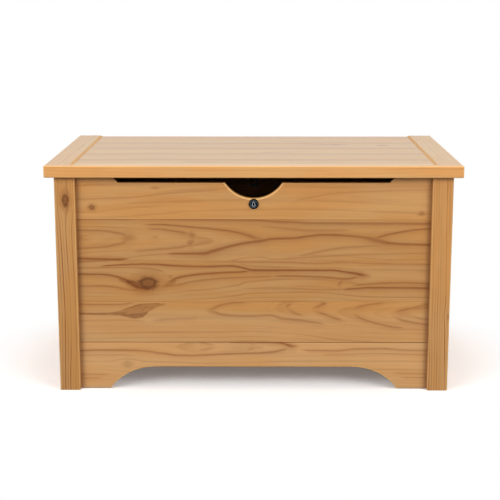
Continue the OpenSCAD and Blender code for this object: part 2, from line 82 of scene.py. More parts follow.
def ramp(tree, value, start, end, low=0.0, high=1.0):
    return newNode(tree, "MapRange", value, start, end, low, high, interpolation_type="SMOOTHSTEP").outputs[0]


def mixColour(tree, factor, first, second, mode="MIX"):
    node = newNode(tree, "Mix", data_type="RGBA", blend_type=mode)
    for index, value in ((0, factor), (6, first), (7, second)):
        feed(tree, node.inputs[index], value)
    return node.outputs[2]


def vectors(tree, operation, *values):
    return newNode(tree, "VectorMath", *values, operation=operation).outputs


def stretched(tree, place, sizes, shift=(0, 0, 0)):
    return vectors(tree, "MULTIPLY_ADD", place, [1 / size for size in sizes], shift)[0]


def objectPlace(tree):
    return newNode(tree, "TexCoord").outputs["Object"]


def apart(tree, place):
    return newNode(tree, "SeparateXYZ", place).outputs


def together(tree, *values):
    return newNode(tree, "CombineXYZ", *values).outputs[0]


def noise(tree, place, detail=2.0, roughness=0.5):
    node = newNode(tree, "TexNoise")
    feed(tree, node.inputs["Vector"], place)
    node.inputs["Scale"].default_value = 1.0
    node.inputs["Detail"].default_value = detail
    node.inputs["Roughness"].default_value = roughness
    return node.outputs["Fac"]


def addBump(tree, target, height, strength, depth):
    bump = newNode(tree, "Bump")
    bump.inputs["Strength"].default_value = strength
    bump.inputs["Distance"].default_value = depth
    feed(tree, bump.inputs["Height"], height)
    feed(tree, target, bump.outputs[0])


# A smooth line through given points, each a place and the height there
def curve(tree, value, points):
    first, last = points[0][0], points[-1][0]
    heights = [height for place, height in points]
    low, span = min(heights), max(max(heights) - min(heights), 0.001)
    node = newNode(tree, "FloatCurve")
    line = node.mapping.curves[0]
    line.points[0].location = (0.0, (heights[0] - low) / span)
    line.points[-1].location = (1.0, (heights[-1] - low) / span)
    for place, height in points[1:-1]:
        line.points.new((place - first) / (last - first), (height - low) / span)
    for point in line.points:
        point.handle_type = "AUTO_CLAMPED"
    node.mapping.update()
    part = calc(tree, "MULTIPLY_ADD", value, 1 / (last - first), -first / (last - first))
    part.node.use_clamp = True
    feed(tree, node.inputs["Value"], part)
    return calc(tree, "MULTIPLY_ADD", node.outputs[0], span, low)


def between(points, place):
    for (first, low), (last, high) in zip(points, points[1:]):
        if place <= last:
            return low + (high - low) * (max(place, first) - first) / (last - first)
    return points[-1][1]


# A colour as a paint program gives it, 0 to 255
def tint(red, green, blue):
    parts = [c / 255 for c in (red, green, blue)]
    return [c / 12.92 if c <= 0.04045 else ((c + 0.055) / 1.055) ** 2.4 for c in parts] + [1.0]


def newMaterial(name, **sockets):
    material = bpy.data.materials.new(name)
    material.use_nodes = True
    tree = material.node_tree
    shader = next(n for n in tree.nodes if n.type == "BSDF_PRINCIPLED")
    for socket, value in sockets.items():
        shader.inputs[socket.replace("_", " ")].default_value = value
    return material, tree, shader


def newGroup(name, takes, gives):
    tree = bpy.data.node_groups.new(name, "ShaderNodeTree")
    for way, sockets in (("INPUT", takes), ("OUTPUT", gives)):
        for kind, labels in sockets.items():
            for label in labels.split():
                tree.interface.new_socket(label, in_out=way, socket_type="NodeSocket" + kind)
    given = tree.nodes.new("NodeGroupInput").outputs
    result = tree.nodes.new("NodeGroupOutput").inputs
    return tree, given, result


def useGroup(tree, group, **values):
    node = newNode(tree, "Group", node_tree=group)
    for label, value in values.items():
        feed(tree, node.inputs[label], value)
    return node.outputs


# Pine. Places on a board are in millimetres: along the grain, across it, and deep into the wood.
# A size of three numbers is how far that noise reaches in those three ways

pineLook = {
    # The pale colour lightens wherever pales are drawn; on the lowest front boards it is partly painted light
    "early": tint(209, 150, 86), "pale": tint(209, 157, 98), "paleWash": tint(240, 214, 178),
    "late": tint(146, 80, 34), "knot": tint(98, 48, 14), "knotWood": tint(146, 80, 30),
    # arris: arrises lighter, partly wear and partly painted highlight; joint: closed joints, also painted shade
    "arris": tint(255, 202, 130), "joint": tint(84, 44, 20),
    "gold": (0.0, 0.1, -0.16),
    "slowBend": (210, 60, 60), "quickBend": (60, 14, 14), "quickShare": 0.09,
    "strong": (1.5, 0.5), "faint": (1.0, 0.35), "faintCloser": 3.3, "faintShare": 0.35, "least": 0.15,
    "patch": (150, 26, 26), "patchWeak": (0.32, 0.62, 0.35, 1.1), "patchFirm": (0.28, 0.5, 0.85, 1.1),
    "cloud": (260, 45, 45), "cloudEdge": (0.38, 0.62), "knotEdge": (0.35, 1.0),
    "fibre": (40, 0.8, 0.8), "fibreLight": 0.14, "streak": (190, 3.2, 3.2), "streakLight": 0.24,
    "rough": 0.46, "fibreRough": 0.18, "lineRough": -0.07,
    "lineHigh": 0.7, "fibreHigh": 0.8, "bump": (0.5, 0.00012),
}
lineLook = {
    "width": 1.5, "above": 1.2, "below": -0.75, "halo": 0.42, "haloFall": -0.16, "fade": 30,
    "shortFade": 0.45, "ragged": (26, 7, 7), "raggedBy": 2.2, "flatEdge": (1.15, 0.7), "flatFade": 6,
    "mottle": (13, 3.5, 3.5), "mottleEdge": (0.35, 0.65, 0.85, 1.1),
}
knotLook = {
    "rough": (9, 6, 30), "roughBy": 0.6, "core": (1.25, 0.6), "halo": (2.0, 0.8), "haloShade": 0.4,
    "rings": 15.0, "ringShade": 0.05, "heart": (0.1, 0.6, 0.8, 0.93), "deep": 400,
}


# Rings round a pith that lies a little above or below the ridge and some way behind the face
def growthRings():
    takes = {"Vector": "Place", "Float": "Ridge Depth Waver Seed"}
    tree, given, result = newGroup("growth rings", takes, {"Float": "Distance"})
    along, across, deep = apart(tree, given["Place"])
    slow = noise(tree, stretched(tree, given["Place"], pineLook["slowBend"], given["Seed"]), 1.0)
    quick = noise(tree, stretched(tree, given["Place"], pineLook["quickBend"], given["Seed"]))
    side = swing(tree, slow, given["Waver"], calc(tree, "SUBTRACT", across, given["Ridge"]))
    below = calc(tree, "SUBTRACT", deep, given["Depth"])
    square = calc(tree, "MULTIPLY_ADD", side, side, times(tree, below, below))
    small = times(tree, given["Waver"], pineLook["quickShare"])
    feed(tree, result["Distance"], swing(tree, quick, small, calc(tree, "SQRT", square)))
    return tree


# One grain line drawn through listed points: places along the board, heights there and half widths. It fades at
# its ends. A flat one has an even shade and firm edges
def stroke(tree, along, across, points, strength, flat):
    widths = []
    for index, (place, height, width) in enumerate(points):
        width *= 1.0 if flat else lineLook["width"]
        before, after = points[max(index - 1, 0)], points[min(index + 1, len(points) - 1)]
        slope = (after[1] - before[1]) / (after[0] - before[0])
        widths.append((place, width * math.hypot(1, slope)))
    centre = curve(tree, along, [point[:2] for point in points])
    off = calc(tree, "DIVIDE", calc(tree, "SUBTRACT", across, centre), curve(tree, along, widths))
    if flat:
        core = ramp(tree, calc(tree, "ABSOLUTE", off), *lineLook["flatEdge"])
    else:
        sided = calc(tree, "MAXIMUM", times(tree, off, lineLook["above"]), times(tree, off, lineLook["below"]))
        core = calc(tree, "EXPONENT", times(tree, sided, sided, -1.0))
        halo = calc(tree, "EXPONENT", times(tree, sided, sided, lineLook["haloFall"]))
        core = calc(tree, "MAXIMUM", core, times(tree, halo, lineLook["halo"]))
    start, end = points[0][0], points[-1][0]
    run = lineLook["flatFade"] if flat else min(lineLook["fade"], lineLook["shortFade"] * (end - start))
    return times(tree, core, ramp(tree, along, start, start + run), ramp(tree, along, end, end - run), strength)


# The rings part round a knot, whose own rings are nearly black at its rim
def roundKnots():
    takes = {"Vector": "Place Here Size Stretch", "Float": "Distance Knot Level Dark"}
    tree, given, result = newGroup("knot", takes, {"Float": "Distance Knot"})
    offset = vectors(tree, "SUBTRACT", given["Place"], given["Here"])[0]
    rough = noise(tree, stretched(tree, given["Place"], knotLook["rough"]))
    near, wide = [vectors(tree, "LENGTH", vectors(tree, "DIVIDE", offset, given[label])[0])["Value"]
                  for label in ("Size", "Stretch")]
    body = swing(tree, rough, knotLook["roughBy"], near)
    pull = calc(tree, "EXPONENT", times(tree, wide, wide, -1.0))
    shift = times(tree, calc(tree, "SUBTRACT", given["Distance"], given["Level"]), pull)
    feed(tree, result["Distance"], calc(tree, "SUBTRACT", given["Distance"], shift))
    core = ramp(tree, body, *knotLook["core"])
    halo = times(tree, ramp(tree, body, *knotLook["halo"]), knotLook["haloShade"])
    rings = calc(tree, "MULTIPLY_ADD", calc(tree, "SINE", times(tree, body, knotLook["rings"])),
                 knotLook["ringShade"], ramp(tree, body, *knotLook["heart"]))
    shade = calc(tree, "MAXIMUM", times(tree, core, rings), halo)
    feed(tree, result["Knot"], calc(tree, "MAXIMUM", given["Knot"], times(tree, shade, given["Dark"])))
    return tree


def pineFinish():
    takes = {"Vector": "Place", "Float": "Distance Lines Knot Spacing Contrast Tone Seed Pale End Worn Gold"}
    gives = {"Color": "Colour", "Float": "Roughness", "Vector": "Normal"}
    tree, given, result = newGroup("pine finish", takes, gives)
    count = calc(tree, "ADD", calc(tree, "DIVIDE", given["Distance"], given["Spacing"]), given["Seed"])

    # Late wood as lines of chance strength, each from soft at its start to sharp at 1
    def ringSet(value, power, start):
        whole = calc(tree, "FLOOR", value)
        part = calc(tree, "SUBTRACT", value, whole)
        chance = newNode(tree, "TexWhiteNoise", noise_dimensions="1D")
        feed(tree, chance.inputs["W"], whole)
        force = calc(tree, "POWER", chance.outputs["Value"], power)
        force = calc(tree, "MULTIPLY_ADD", force, 1.0 - pineLook["least"], pineLook["least"])
        return times(tree, ramp(tree, part, start, 0.9), ramp(tree, part, 1.0, 0.93), force)

    def spread(size, *how):
        return noise(tree, stretched(tree, given["Place"], pineLook[size], given["Seed"]), *how)

    strong = ringSet(count, *pineLook["strong"])
    faint = ringSet(times(tree, count, pineLook["faintCloser"]), *pineLook["faint"])
    patch = spread("patch")
    weak = calc(tree, "MULTIPLY_ADD", faint, pineLook["faintShare"], strong)
    weak = times(tree, weak, ramp(tree, patch, *pineLook["patchWeak"]), given["Contrast"])
    firm = times(tree, given["Lines"], ramp(tree, patch, *pineLook["patchFirm"]))
    lines = calc(tree, "MINIMUM", calc(tree, "MAXIMUM", weak, firm), 1.0)
    fibre = spread("fibre", 3.0, 0.65)
    streak = spread("streak", 3.0, 0.6)

    cloud = ramp(tree, spread("cloud"), *pineLook["cloudEdge"])
    colour = mixColour(tree, cloud, pineLook["early"], pineLook["pale"])
    colour = mixColour(tree, given["Pale"], colour, pineLook["paleWash"])
    colour = mixColour(tree, lines, colour, pineLook["late"])
    light = swing(tree, streak, pineLook["streakLight"], swing(tree, fibre, pineLook["fibreLight"], 1.0))
    light = times(tree, light, given["Tone"])
    golden = [times(tree, light, calc(tree, "MULTIPLY_ADD", given["Gold"], shift, 1.0))
              for shift in pineLook["gold"]]
    colour = mixColour(tree, 1.0, colour, together(tree, *golden), "MULTIPLY")
    core = ramp(tree, given["Knot"], *pineLook["knotEdge"])
    dark = mixColour(tree, core, pineLook["knotWood"], pineLook["knot"])
    colour = mixColour(tree, given["Knot"], colour, dark)
    # Above 0 the arris attribute lightens an edge, partly as wear and partly as painted highlight
    arris = newNode(tree, "Attribute", attribute_name="arris").outputs["Fac"]
    worn = calc(tree, "MAXIMUM", arris, 0.0)
    # Below 0 the arris attribute darkens closed joints and paints shade on the faces that inside picks
    jointAndShade = calc(tree, "MAXIMUM", times(tree, arris, -1.0), 0.0)
    colour = mixColour(tree, times(tree, worn, given["Worn"]), colour, pineLook["arris"])
    # The joint colour also paints shade: on the faces marked inside and at a front board's ends beside the
    # posts
    colour = mixColour(tree, calc(tree, "MAXIMUM", jointAndShade, given["End"]), colour, pineLook["joint"])
    feed(tree, result["Colour"], colour)

    rough = swing(tree, fibre, pineLook["fibreRough"], pineLook["rough"])
    feed(tree, result["Roughness"], calc(tree, "MULTIPLY_ADD", lines, pineLook["lineRough"], rough))
    height = calc(tree, "MULTIPLY_ADD", lines, pineLook["lineHigh"], times(tree, fibre, pineLook["fibreHigh"]))
    addBump(tree, result["Normal"], height, *pineLook["bump"])
    return tree


ringGroup, knotGroup, finishGroup = growthRings(), roundKnots(), pineFinish()

# ridge and depth: (place along the board, height of the pith or its distance behind the face)
# strokes, blots and pales: (strength, [(place along the board, height, half width)])
# knots: (place and height, half length and height, reach of the parted rings, strength)
# ends: (half the board's length, reach of the painted shade at its ends beside the posts, strength)
plainGrain = {
    "ridge": [(-450, -40), (450, -36)], "depth": [(-450, 70), (450, 74)], "waver": 8, "spacing": 7.0,
    "contrast": 0.7, "tone": 1.0, "seed": 1.0, "strokes": [], "blots": [], "pales": [], "ends": (),
    "knots": [], "gloss": (0.12, 0.32), "worn": 0.75, "gold": 0.0, "ior": 1.5,
}


# along, across: axes of the piece as "x", "y", "z"; face: the axis and side of its outer face, as "-y"
def makePine(name, node, along, across, face, **changes):
    grain = {**plainGrain, **changes}
    coat, coatRoughness = grain["gloss"]
    material, tree, shader = newMaterial("pine " + name, IOR=grain["ior"], Coat_Weight=coat,
                                         Coat_Roughness=coatRoughness)
    low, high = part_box(node)
    order = ["xyz".index(axis) for axis in (along, across, face[1])]
    inward = 1 if face[0] == "-" else -1
    middle = [(low[axis] + high[axis]) / 2 for axis in order[:2]]
    middle.append(low[order[2]] if face[0] == "-" else high[order[2]])
    parts = apart(tree, objectPlace(tree))
    scale = (1000, 1000, 1000 * inward)
    shift = [-part * size for part, size in zip(middle, scale)]
    place = vectors(tree, "MULTIPLY_ADD", together(tree, *[parts[axis] for axis in order]), scale, shift)[0]
    along, across = apart(tree, place)[:2]
    ridge, depth = curve(tree, along, grain["ridge"]), curve(tree, along, grain["depth"])
    distance = useGroup(tree, ringGroup, Place=place, Ridge=ridge, Depth=depth, Waver=grain["waver"],
                        Seed=grain["seed"])["Distance"]
    dark = 0.0
    for at, size, stretch, shade in grain["knots"]:
        level = math.hypot(at[1] - between(grain["ridge"], at[0]), between(grain["depth"], at[0]))
        made = useGroup(tree, knotGroup, Place=place, Distance=distance, Knot=dark, Here=(*at, 0), Level=level,
                        Size=(*size, knotLook["deep"]), Stretch=(*stretch, knotLook["deep"]), Dark=shade)
        distance, dark = made["Distance"], made["Knot"]
    ragged = noise(tree, stretched(tree, place, lineLook["ragged"], [grain["seed"]] * 3), 3.0, 0.6)
    across = swing(tree, ragged, lineLook["raggedBy"], across)

    def drawn(strokes, most, flat=True, shade=1.0):
        for strength, points in strokes:
            line = stroke(tree, along, across, points, strength, flat)
            most = calc(tree, "MAXIMUM", most, times(tree, line, shade))
        return most

    if grain["blots"]:
        mottle = noise(tree, stretched(tree, place, lineLook["mottle"]), 3.0, 0.6)
        dark = drawn(grain["blots"], dark, shade=ramp(tree, mottle, *lineLook["mottleEdge"]))
    # Painted shade: a front board darkens towards its ends, where the posts stand proud of it
    end = 0.0
    if grain["ends"]:
        half, reach, strength = grain["ends"]
        end = ramp(tree, calc(tree, "ABSOLUTE", along), half - reach, half, 0.0, strength)
    same = {label: grain[label.lower()] for label in ("Spacing", "Contrast", "Tone", "Seed", "Worn", "Gold")}
    finish = useGroup(tree, finishGroup, Place=place, Distance=distance, Knot=dark, End=end,
                      Lines=drawn(grain["strokes"], 0.0, False), Pale=drawn(grain["pales"], 0.0), **same)
    for label, socket in (("Colour", "Base Color"), ("Roughness", "Roughness"), ("Normal", "Normal")):
        feed(tree, shader.inputs[socket], finish[label])
    return material


# Plywood, beech, metals, rubber and nylon

plyLook = {
    "wave": (0.5, 0.09, 0.02), "rings": 22.0, "fibre": (0.03, 0.0012, 0.0012),
    "light": tint(224, 190, 142), "dark": tint(196, 150, 100), "fibreTint": tint(205, 166, 118),
    "ringEdge": (0.5, 1.0, 0.0, 0.5), "fibreEdge": (0.4, 0.7, 0.0, 0.35), "rough": (0.2, 0.8, 0.6, 0.72),
    "bump": (0.4, 0.0001),
}
fineLook = {
    "cloud": (0.03, 0.03, 0.03), "fineShare": 0.6, "cloudShare": 0.4, "colourEdge": (0.35, 0.65),
    "roughEdge": (0.3, 0.7), "bump": 0.6,
}


def makePlywood():
    material, tree, shader = newMaterial("plywood", IOR=1.5)
    place = objectPlace(tree)
    wave = noise(tree, stretched(tree, place, plyLook["wave"]), 3.0, 0.55)
    rings = calc(tree, "FRACT", times(tree, wave, plyLook["rings"]))
    fibre = noise(tree, stretched(tree, place, plyLook["fibre"]))
    colour = mixColour(tree, ramp(tree, rings, *plyLook["ringEdge"]), plyLook["light"], plyLook["dark"])
    colour = mixColour(tree, ramp(tree, fibre, *plyLook["fibreEdge"]), colour, plyLook["fibreTint"])
    feed(tree, shader.inputs["Base Color"], colour)
    feed(tree, shader.inputs["Roughness"], ramp(tree, fibre, *plyLook["rough"]))
    addBump(tree, shader.inputs["Normal"], fibre, *plyLook["bump"])
    return material


# A finish with fine grain: colour and roughness wander between two values, with a little bump
def makeFine(name, first, second, roughness, grainSize, bumpDepth, stretch=(1, 1, 1), **sockets):
    material, tree, shader = newMaterial(name, **sockets)
    place = objectPlace(tree)
    fine = noise(tree, stretched(tree, place, [grainSize * part for part in stretch]), 3.0, 0.6)
    cloud = noise(tree, stretched(tree, place, fineLook["cloud"]))
    share = times(tree, cloud, fineLook["cloudShare"])
    blend = calc(tree, "MULTIPLY_ADD", fine, fineLook["fineShare"], share)
    colour = mixColour(tree, ramp(tree, blend, *fineLook["colourEdge"]), first, second)
    feed(tree, shader.inputs["Base Color"], colour)
    feed(tree, shader.inputs["Roughness"], ramp(tree, blend, *fineLook["roughEdge"], *roughness))
    addBump(tree, shader.inputs["Normal"], fine, fineLook["bump"], bumpDepth)
    return material


plywood = makePlywood()
beech = makeFine("beech dowel", tint(222, 186, 140), tint(196, 156, 110), (0.5, 0.7), 0.0015, 0.00008,
                 (12, 1, 1), IOR=1.5)
hingeBlack = makeFine("black powder coat", tint(34, 34, 36), tint(24, 24, 26), (0.42, 0.55), 0.0006, 0.00005,
                      IOR=1.5)
lockBlack = makeFine("black lacquer", tint(9, 11, 14), tint(5, 6, 8), (0.16, 0.26), 0.002, 0.00001, IOR=1.18)
keyMetal = makeFine("bright keyhole rim", tint(176, 184, 190), tint(142, 150, 156), (0.2, 0.34), 0.003, 0.00001,
                    IOR=1.8)
gunmetal = makeFine("polished gunmetal", tint(126, 146, 160), tint(84, 100, 112), (0.2, 0.34), 0.003, 0.00001,
                    IOR=2.0, Metallic=1.0)
matBlack = makeFine("matt black", tint(8, 8, 8), tint(5, 5, 5), (0.7, 0.8), 0.0006, 0.00003, IOR=1.2)
steel = makeFine("zinc-plated steel", tint(188, 190, 192), tint(158, 160, 164), (0.24, 0.4), 0.0009, 0.00002,
                 IOR=2.5, Metallic=1.0)
rubber = makeFine("rubber pad", tint(52, 50, 48), tint(40, 38, 37), (0.7, 0.85), 0.0008, 0.00004, IOR=1.5)
nylon = makeFine("nylon sleeve", tint(222, 218, 206), tint(208, 204, 190), (0.35, 0.5), 0.001, 0.00002,
                 IOR=1.53)
print("finishes made")


# Pieces

def camel(node):
    words = node.split("_")
    return words[0] + "".join(word.capitalize() for word in words[1:])


def pick(piece):
    bpy.ops.object.select_all(action="DESELECT")
    piece.select_set(True)
    bpy.context.view_layer.objects.active = piece


def pickVertices(piece, wanted):
    bpy.ops.mesh.select_mode(type="VERT")
    bpy.ops.mesh.select_all(action="DESELECT")
    mesh = bmesh.from_edit_mesh(piece.data)
    for vertex in mesh.verts:
        vertex.select_set(wanted(vertex.co))
    mesh.select_flush_mode()
    bmesh.update_edit_mesh(piece.data)


def modify(piece, name, kind, **settings):
    modifier = piece.modifiers.new(name, kind)
    for setting, value in settings.items():
        setattr(modifier, setting, value)
    bpy.ops.object.modifier_apply(modifier=modifier.name)


# A merged copy of a CAD node, with its flat faces whole again, or split at the middle so that none has a
# hole
def cleanCopy(node, split=False):
    piece = nodes[node].copy()
    piece.data = nodes[node].data.copy()
    for key in list(piece.keys()):
        del piece[key]
    piece.name = camel(node)
    piece.data.name = piece.name
    piece.parent = None
    bpy.context.scene.collection.objects.link(piece)
    pick(piece)
    bpy.ops.object.mode_set(mode="EDIT")
    bpy.ops.mesh.select_all(action="SELECT")
    bpy.ops.mesh.customdata_custom_splitnormals_clear()
    bpy.ops.mesh.remove_doubles(threshold=0.000002)
    if split:
        bpy.ops.mesh.bisect(plane_co=(0, 0, 0), plane_no=(1, 0, 0))
        bpy.ops.mesh.mark_seam()
        bpy.ops.mesh.select_all(action="SELECT")
    bpy.ops.mesh.dissolve_limited(angle_limit=math.radians(0.3), delimit={"SEAM"})
    bpy.ops.object.mode_set(mode="OBJECT")
    return piece


# Rounds over the sharp outer edges that wanted(first, second) picks by their ends, in metres
def soften(piece, width, segments, wanted, sharpest=50, clamp=True):
    bpy.ops.object.mode_set(mode="EDIT")
    bpy.ops.mesh.select_all(action="DESELECT")
    bpy.ops.mesh.select_mode(type="EDGE")
    mesh = bmesh.from_edit_mesh(piece.data)
    chosen = 0
    for edge in mesh.edges:
        if len(edge.link_faces) != 2 or not edge.is_convex:
            continue
        if math.degrees(edge.calc_face_angle(0.0)) > sharpest and wanted(*[v.co for v in edge.verts]):
            edge.select_set(True)
            chosen += 1
    bmesh.update_edit_mesh(piece.data)
    if chosen:
        bpy.ops.mesh.bevel(offset=width, segments=segments, affect="EDGES", clamp_overlap=clamp,
                           loop_slide=False)
    bpy.ops.object.mode_set(mode="OBJECT")


# Narrow slanted faces are the arrises, which the wood's finish shows lighter, partly as wear and partly as
# painted highlight, or the closed joints, which it shows darker. The faces that inside(centre, normal) picks it
# shows darker as painted shade
def markArris(piece, joint, inside, widest=0.003, flattest=0.985, insideShade=-0.75):
    mesh = piece.data
    layer = mesh.attributes.new("arris", "FLOAT", "FACE")
    span = max(piece.dimensions)
    lengths = [(mesh.vertices[a].co - mesh.vertices[b].co).length for a, b in (e.vertices for e in mesh.edges)]
    pairs = {tuple(sorted(e.vertices)): n for e, n in zip(mesh.edges, lengths)}
    middle = sum(corner[2] for corner in piece.bound_box) / 8
    for face in mesh.polygons:
        longest = max(pairs[tuple(sorted(key))] for key in face.edge_keys)
        slanted = max(abs(part) for part in face.normal) < flattest
        value = 1.0 if slanted and face.area / max(longest, 1e-9) < widest else 0.0
        if value and joint and longest > 0.5 * span:
            value = -joint[0] if face.center.z < middle else -joint[1]
        layer.data[face.index].value = insideShade if inside and inside(face.center, face.normal) else value


def dress(piece, node, material, body):
    pick(piece)
    bpy.ops.object.shade_smooth_by_angle(angle=math.radians(35))
    modify(piece, "even normals", "WEIGHTED_NORMAL", keep_sharp=True)
    piece.data.materials.clear()
    piece.data.materials.append(material)
    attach(piece, body)
    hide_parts(node)


def longEdge(least):
    return lambda first, second: (first - second).length > least


# joint: how dark the lower and the upper joint of a board are
def woodPiece(node, body, along, across, face, soft=(), joint=(), inside=None, **grain):
    piece = cleanCopy(node, split=node == "front_board_4")
    for width, wanted in soft:
        soften(piece, width, 3, wanted, clamp=False)
    markArris(piece, joint, inside)
    dress(piece, node, makePine(node, node, along, across, face, **grain), body)


# Corner posts

posts = {
    "edge": 0.0015,
    "post_front_left": {"ridge": [(-245, -66), (0, -62), (150, -64), (245, -60)],
                        "depth": [(-245, 30), (245, 36)],
                        "spacing": 5.0, "contrast": 0.95, "tone": 0.99, "seed": 3.1, "worn": 0.5,
                        "knots": [((190, 1), (18, 9), (44, 17), 0.9)]},
    "post_front_right": {"ridge": [(-245, 70), (245, 64)], "depth": [(-245, 34), (245, 28)],
                         "spacing": 5.2, "contrast": 1.1, "tone": 1.08, "seed": 7.7, "worn": 0.5,
                         "knots": [((-70, 20), (7, 2.5), (20, 8), 0.6)]},
    "post_back_left": {"ridge": [(-245, 50), (245, 58)], "seed": 12.4,
                       "knots": [((-120, 4), (9, 5), (30, 11), 0.7)]},
    "post_back_right": {"ridge": [(-245, -80), (245, -70)], "seed": 15.9},
}
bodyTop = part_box("post_front_left")[1].z


def postEnd(first, second):
    return abs(first.z - second.z) < 1e-5 and (first.z < 1e-4 or first.z > bodyTop - 1e-4)


for node in ("post_front_left", "post_front_right", "post_back_left", "post_back_right"):
    face = "-y" if "front" in node else "+y"
    woodPiece(node, "chest", "z", "x", face, [(posts["edge"], postEnd)], **posts[node])
print("posts made")


# Front wall, whose grain follows the real boards. Its cuts are in metres, the grain in millimetres

frontWall = {
    "archEdge": 0.003, "archFoot": 0.008, "archTop": 0.0505,
    "gripEdge": 0.0034, "gripWide": 0.075,
    "gapEdge": 0.0012, "gapLow": 0.4665, "gapWide": 0.32,
    # ends: painted shade on each front piece where it meets the posts
    "grain": {"waver": 3, "spacing": 8.0, "contrast": 0.36, "tone": 0.98, "worn": 0.9,
              "ends": (386.5, 15, 0.36)},
}
gapLow, gapWide = frontWall["gapLow"], frontWall["gapWide"]


def archRim(first, second):
    return frontWall["archFoot"] < min(first.z, second.z) and max(first.z, second.z) < frontWall["archTop"]


# An edge that runs along the board's face, no further from the middle than wide
def alongFront(first, second, wide):
    return abs(first.y - second.y) < 1e-5 and max(abs(first.x), abs(second.x)) < wide


def gripRim(first, second):
    return alongFront(first, second, frontWall["gripWide"]) and min(first.z, second.z) < gapLow - 0.0008


def gapRim(first, second):
    low = max(first.z, second.z) < gapLow + 0.0004 and min(first.z, second.z) > gapLow - 0.0004
    return alongFront(first, second, gapWide) and low and (first - second).length > 0.02


# The finger gap's upward cut faces, which the finish darkens as painted shade of the lid
def gapFloor(centre, normal):
    return abs(centre.x) < gapWide and centre.z > gapLow - 0.0005 and abs(normal.y) < 0.3 and normal.z > 0.3


# grain says what differs from the wall's own, with joint: how dark the lower and the upper joint are
def frontPiece(node, grain, soft=(), inside=None):
    woodPiece(node, "chest", "x", "z", "-y", soft, inside=inside, **{**frontWall["grain"], **grain})


# Top board, with the finger gap and the hand hole
frontBoard4 = {
    "joint": (0.2, 0.0), "waver": 6, "tone": 1.09, "seed": 2.2,
    "ridge": [(-420, -12.2), (-377, -10.2), (-213, -1.2), (-61, 7.8), (120, 9.8), (420, 3.8)],
    "depth": [(-420, 58), (0, 60), (420, 57)],
    "strokes": [
        (0.35, [(-425, -3.2, 1.2), (-355, -1.2, 1.3), (-284, 0.8, 1.4), (-222, 6.8, 1.5), (-160, 13.8, 1.5),
            (-107, 16.8, 1.3), (-60, 17.8, 0.8)]),
        (0.3, [(-290, -10.8, 0.9), (-178, -7.2, 1.4), (-67, -3.9, 1.4), (60, -2.6, 0.9)]),
        (0.3, [(70, -9.2, 0.9), (88, -5.2, 1.3), (132, 3.8, 1.5), (176, 11.2, 1.5), (308, 17.1, 1.3),
            (425, 19.5, 1)]),
    ],
    "knots": [((-352, -20.2), (8, 6.5), (26, 11), 0.8), ((-214, 22.8), (9, 3), (22, 8), 0.35),
        ((365, -33.2), (6, 4.5), (18, 8), 0.5)],
}
frontPiece("front_board_4", frontBoard4,
           [(frontWall["gripEdge"], gripRim), (frontWall["gapEdge"], gapRim)], gapFloor)

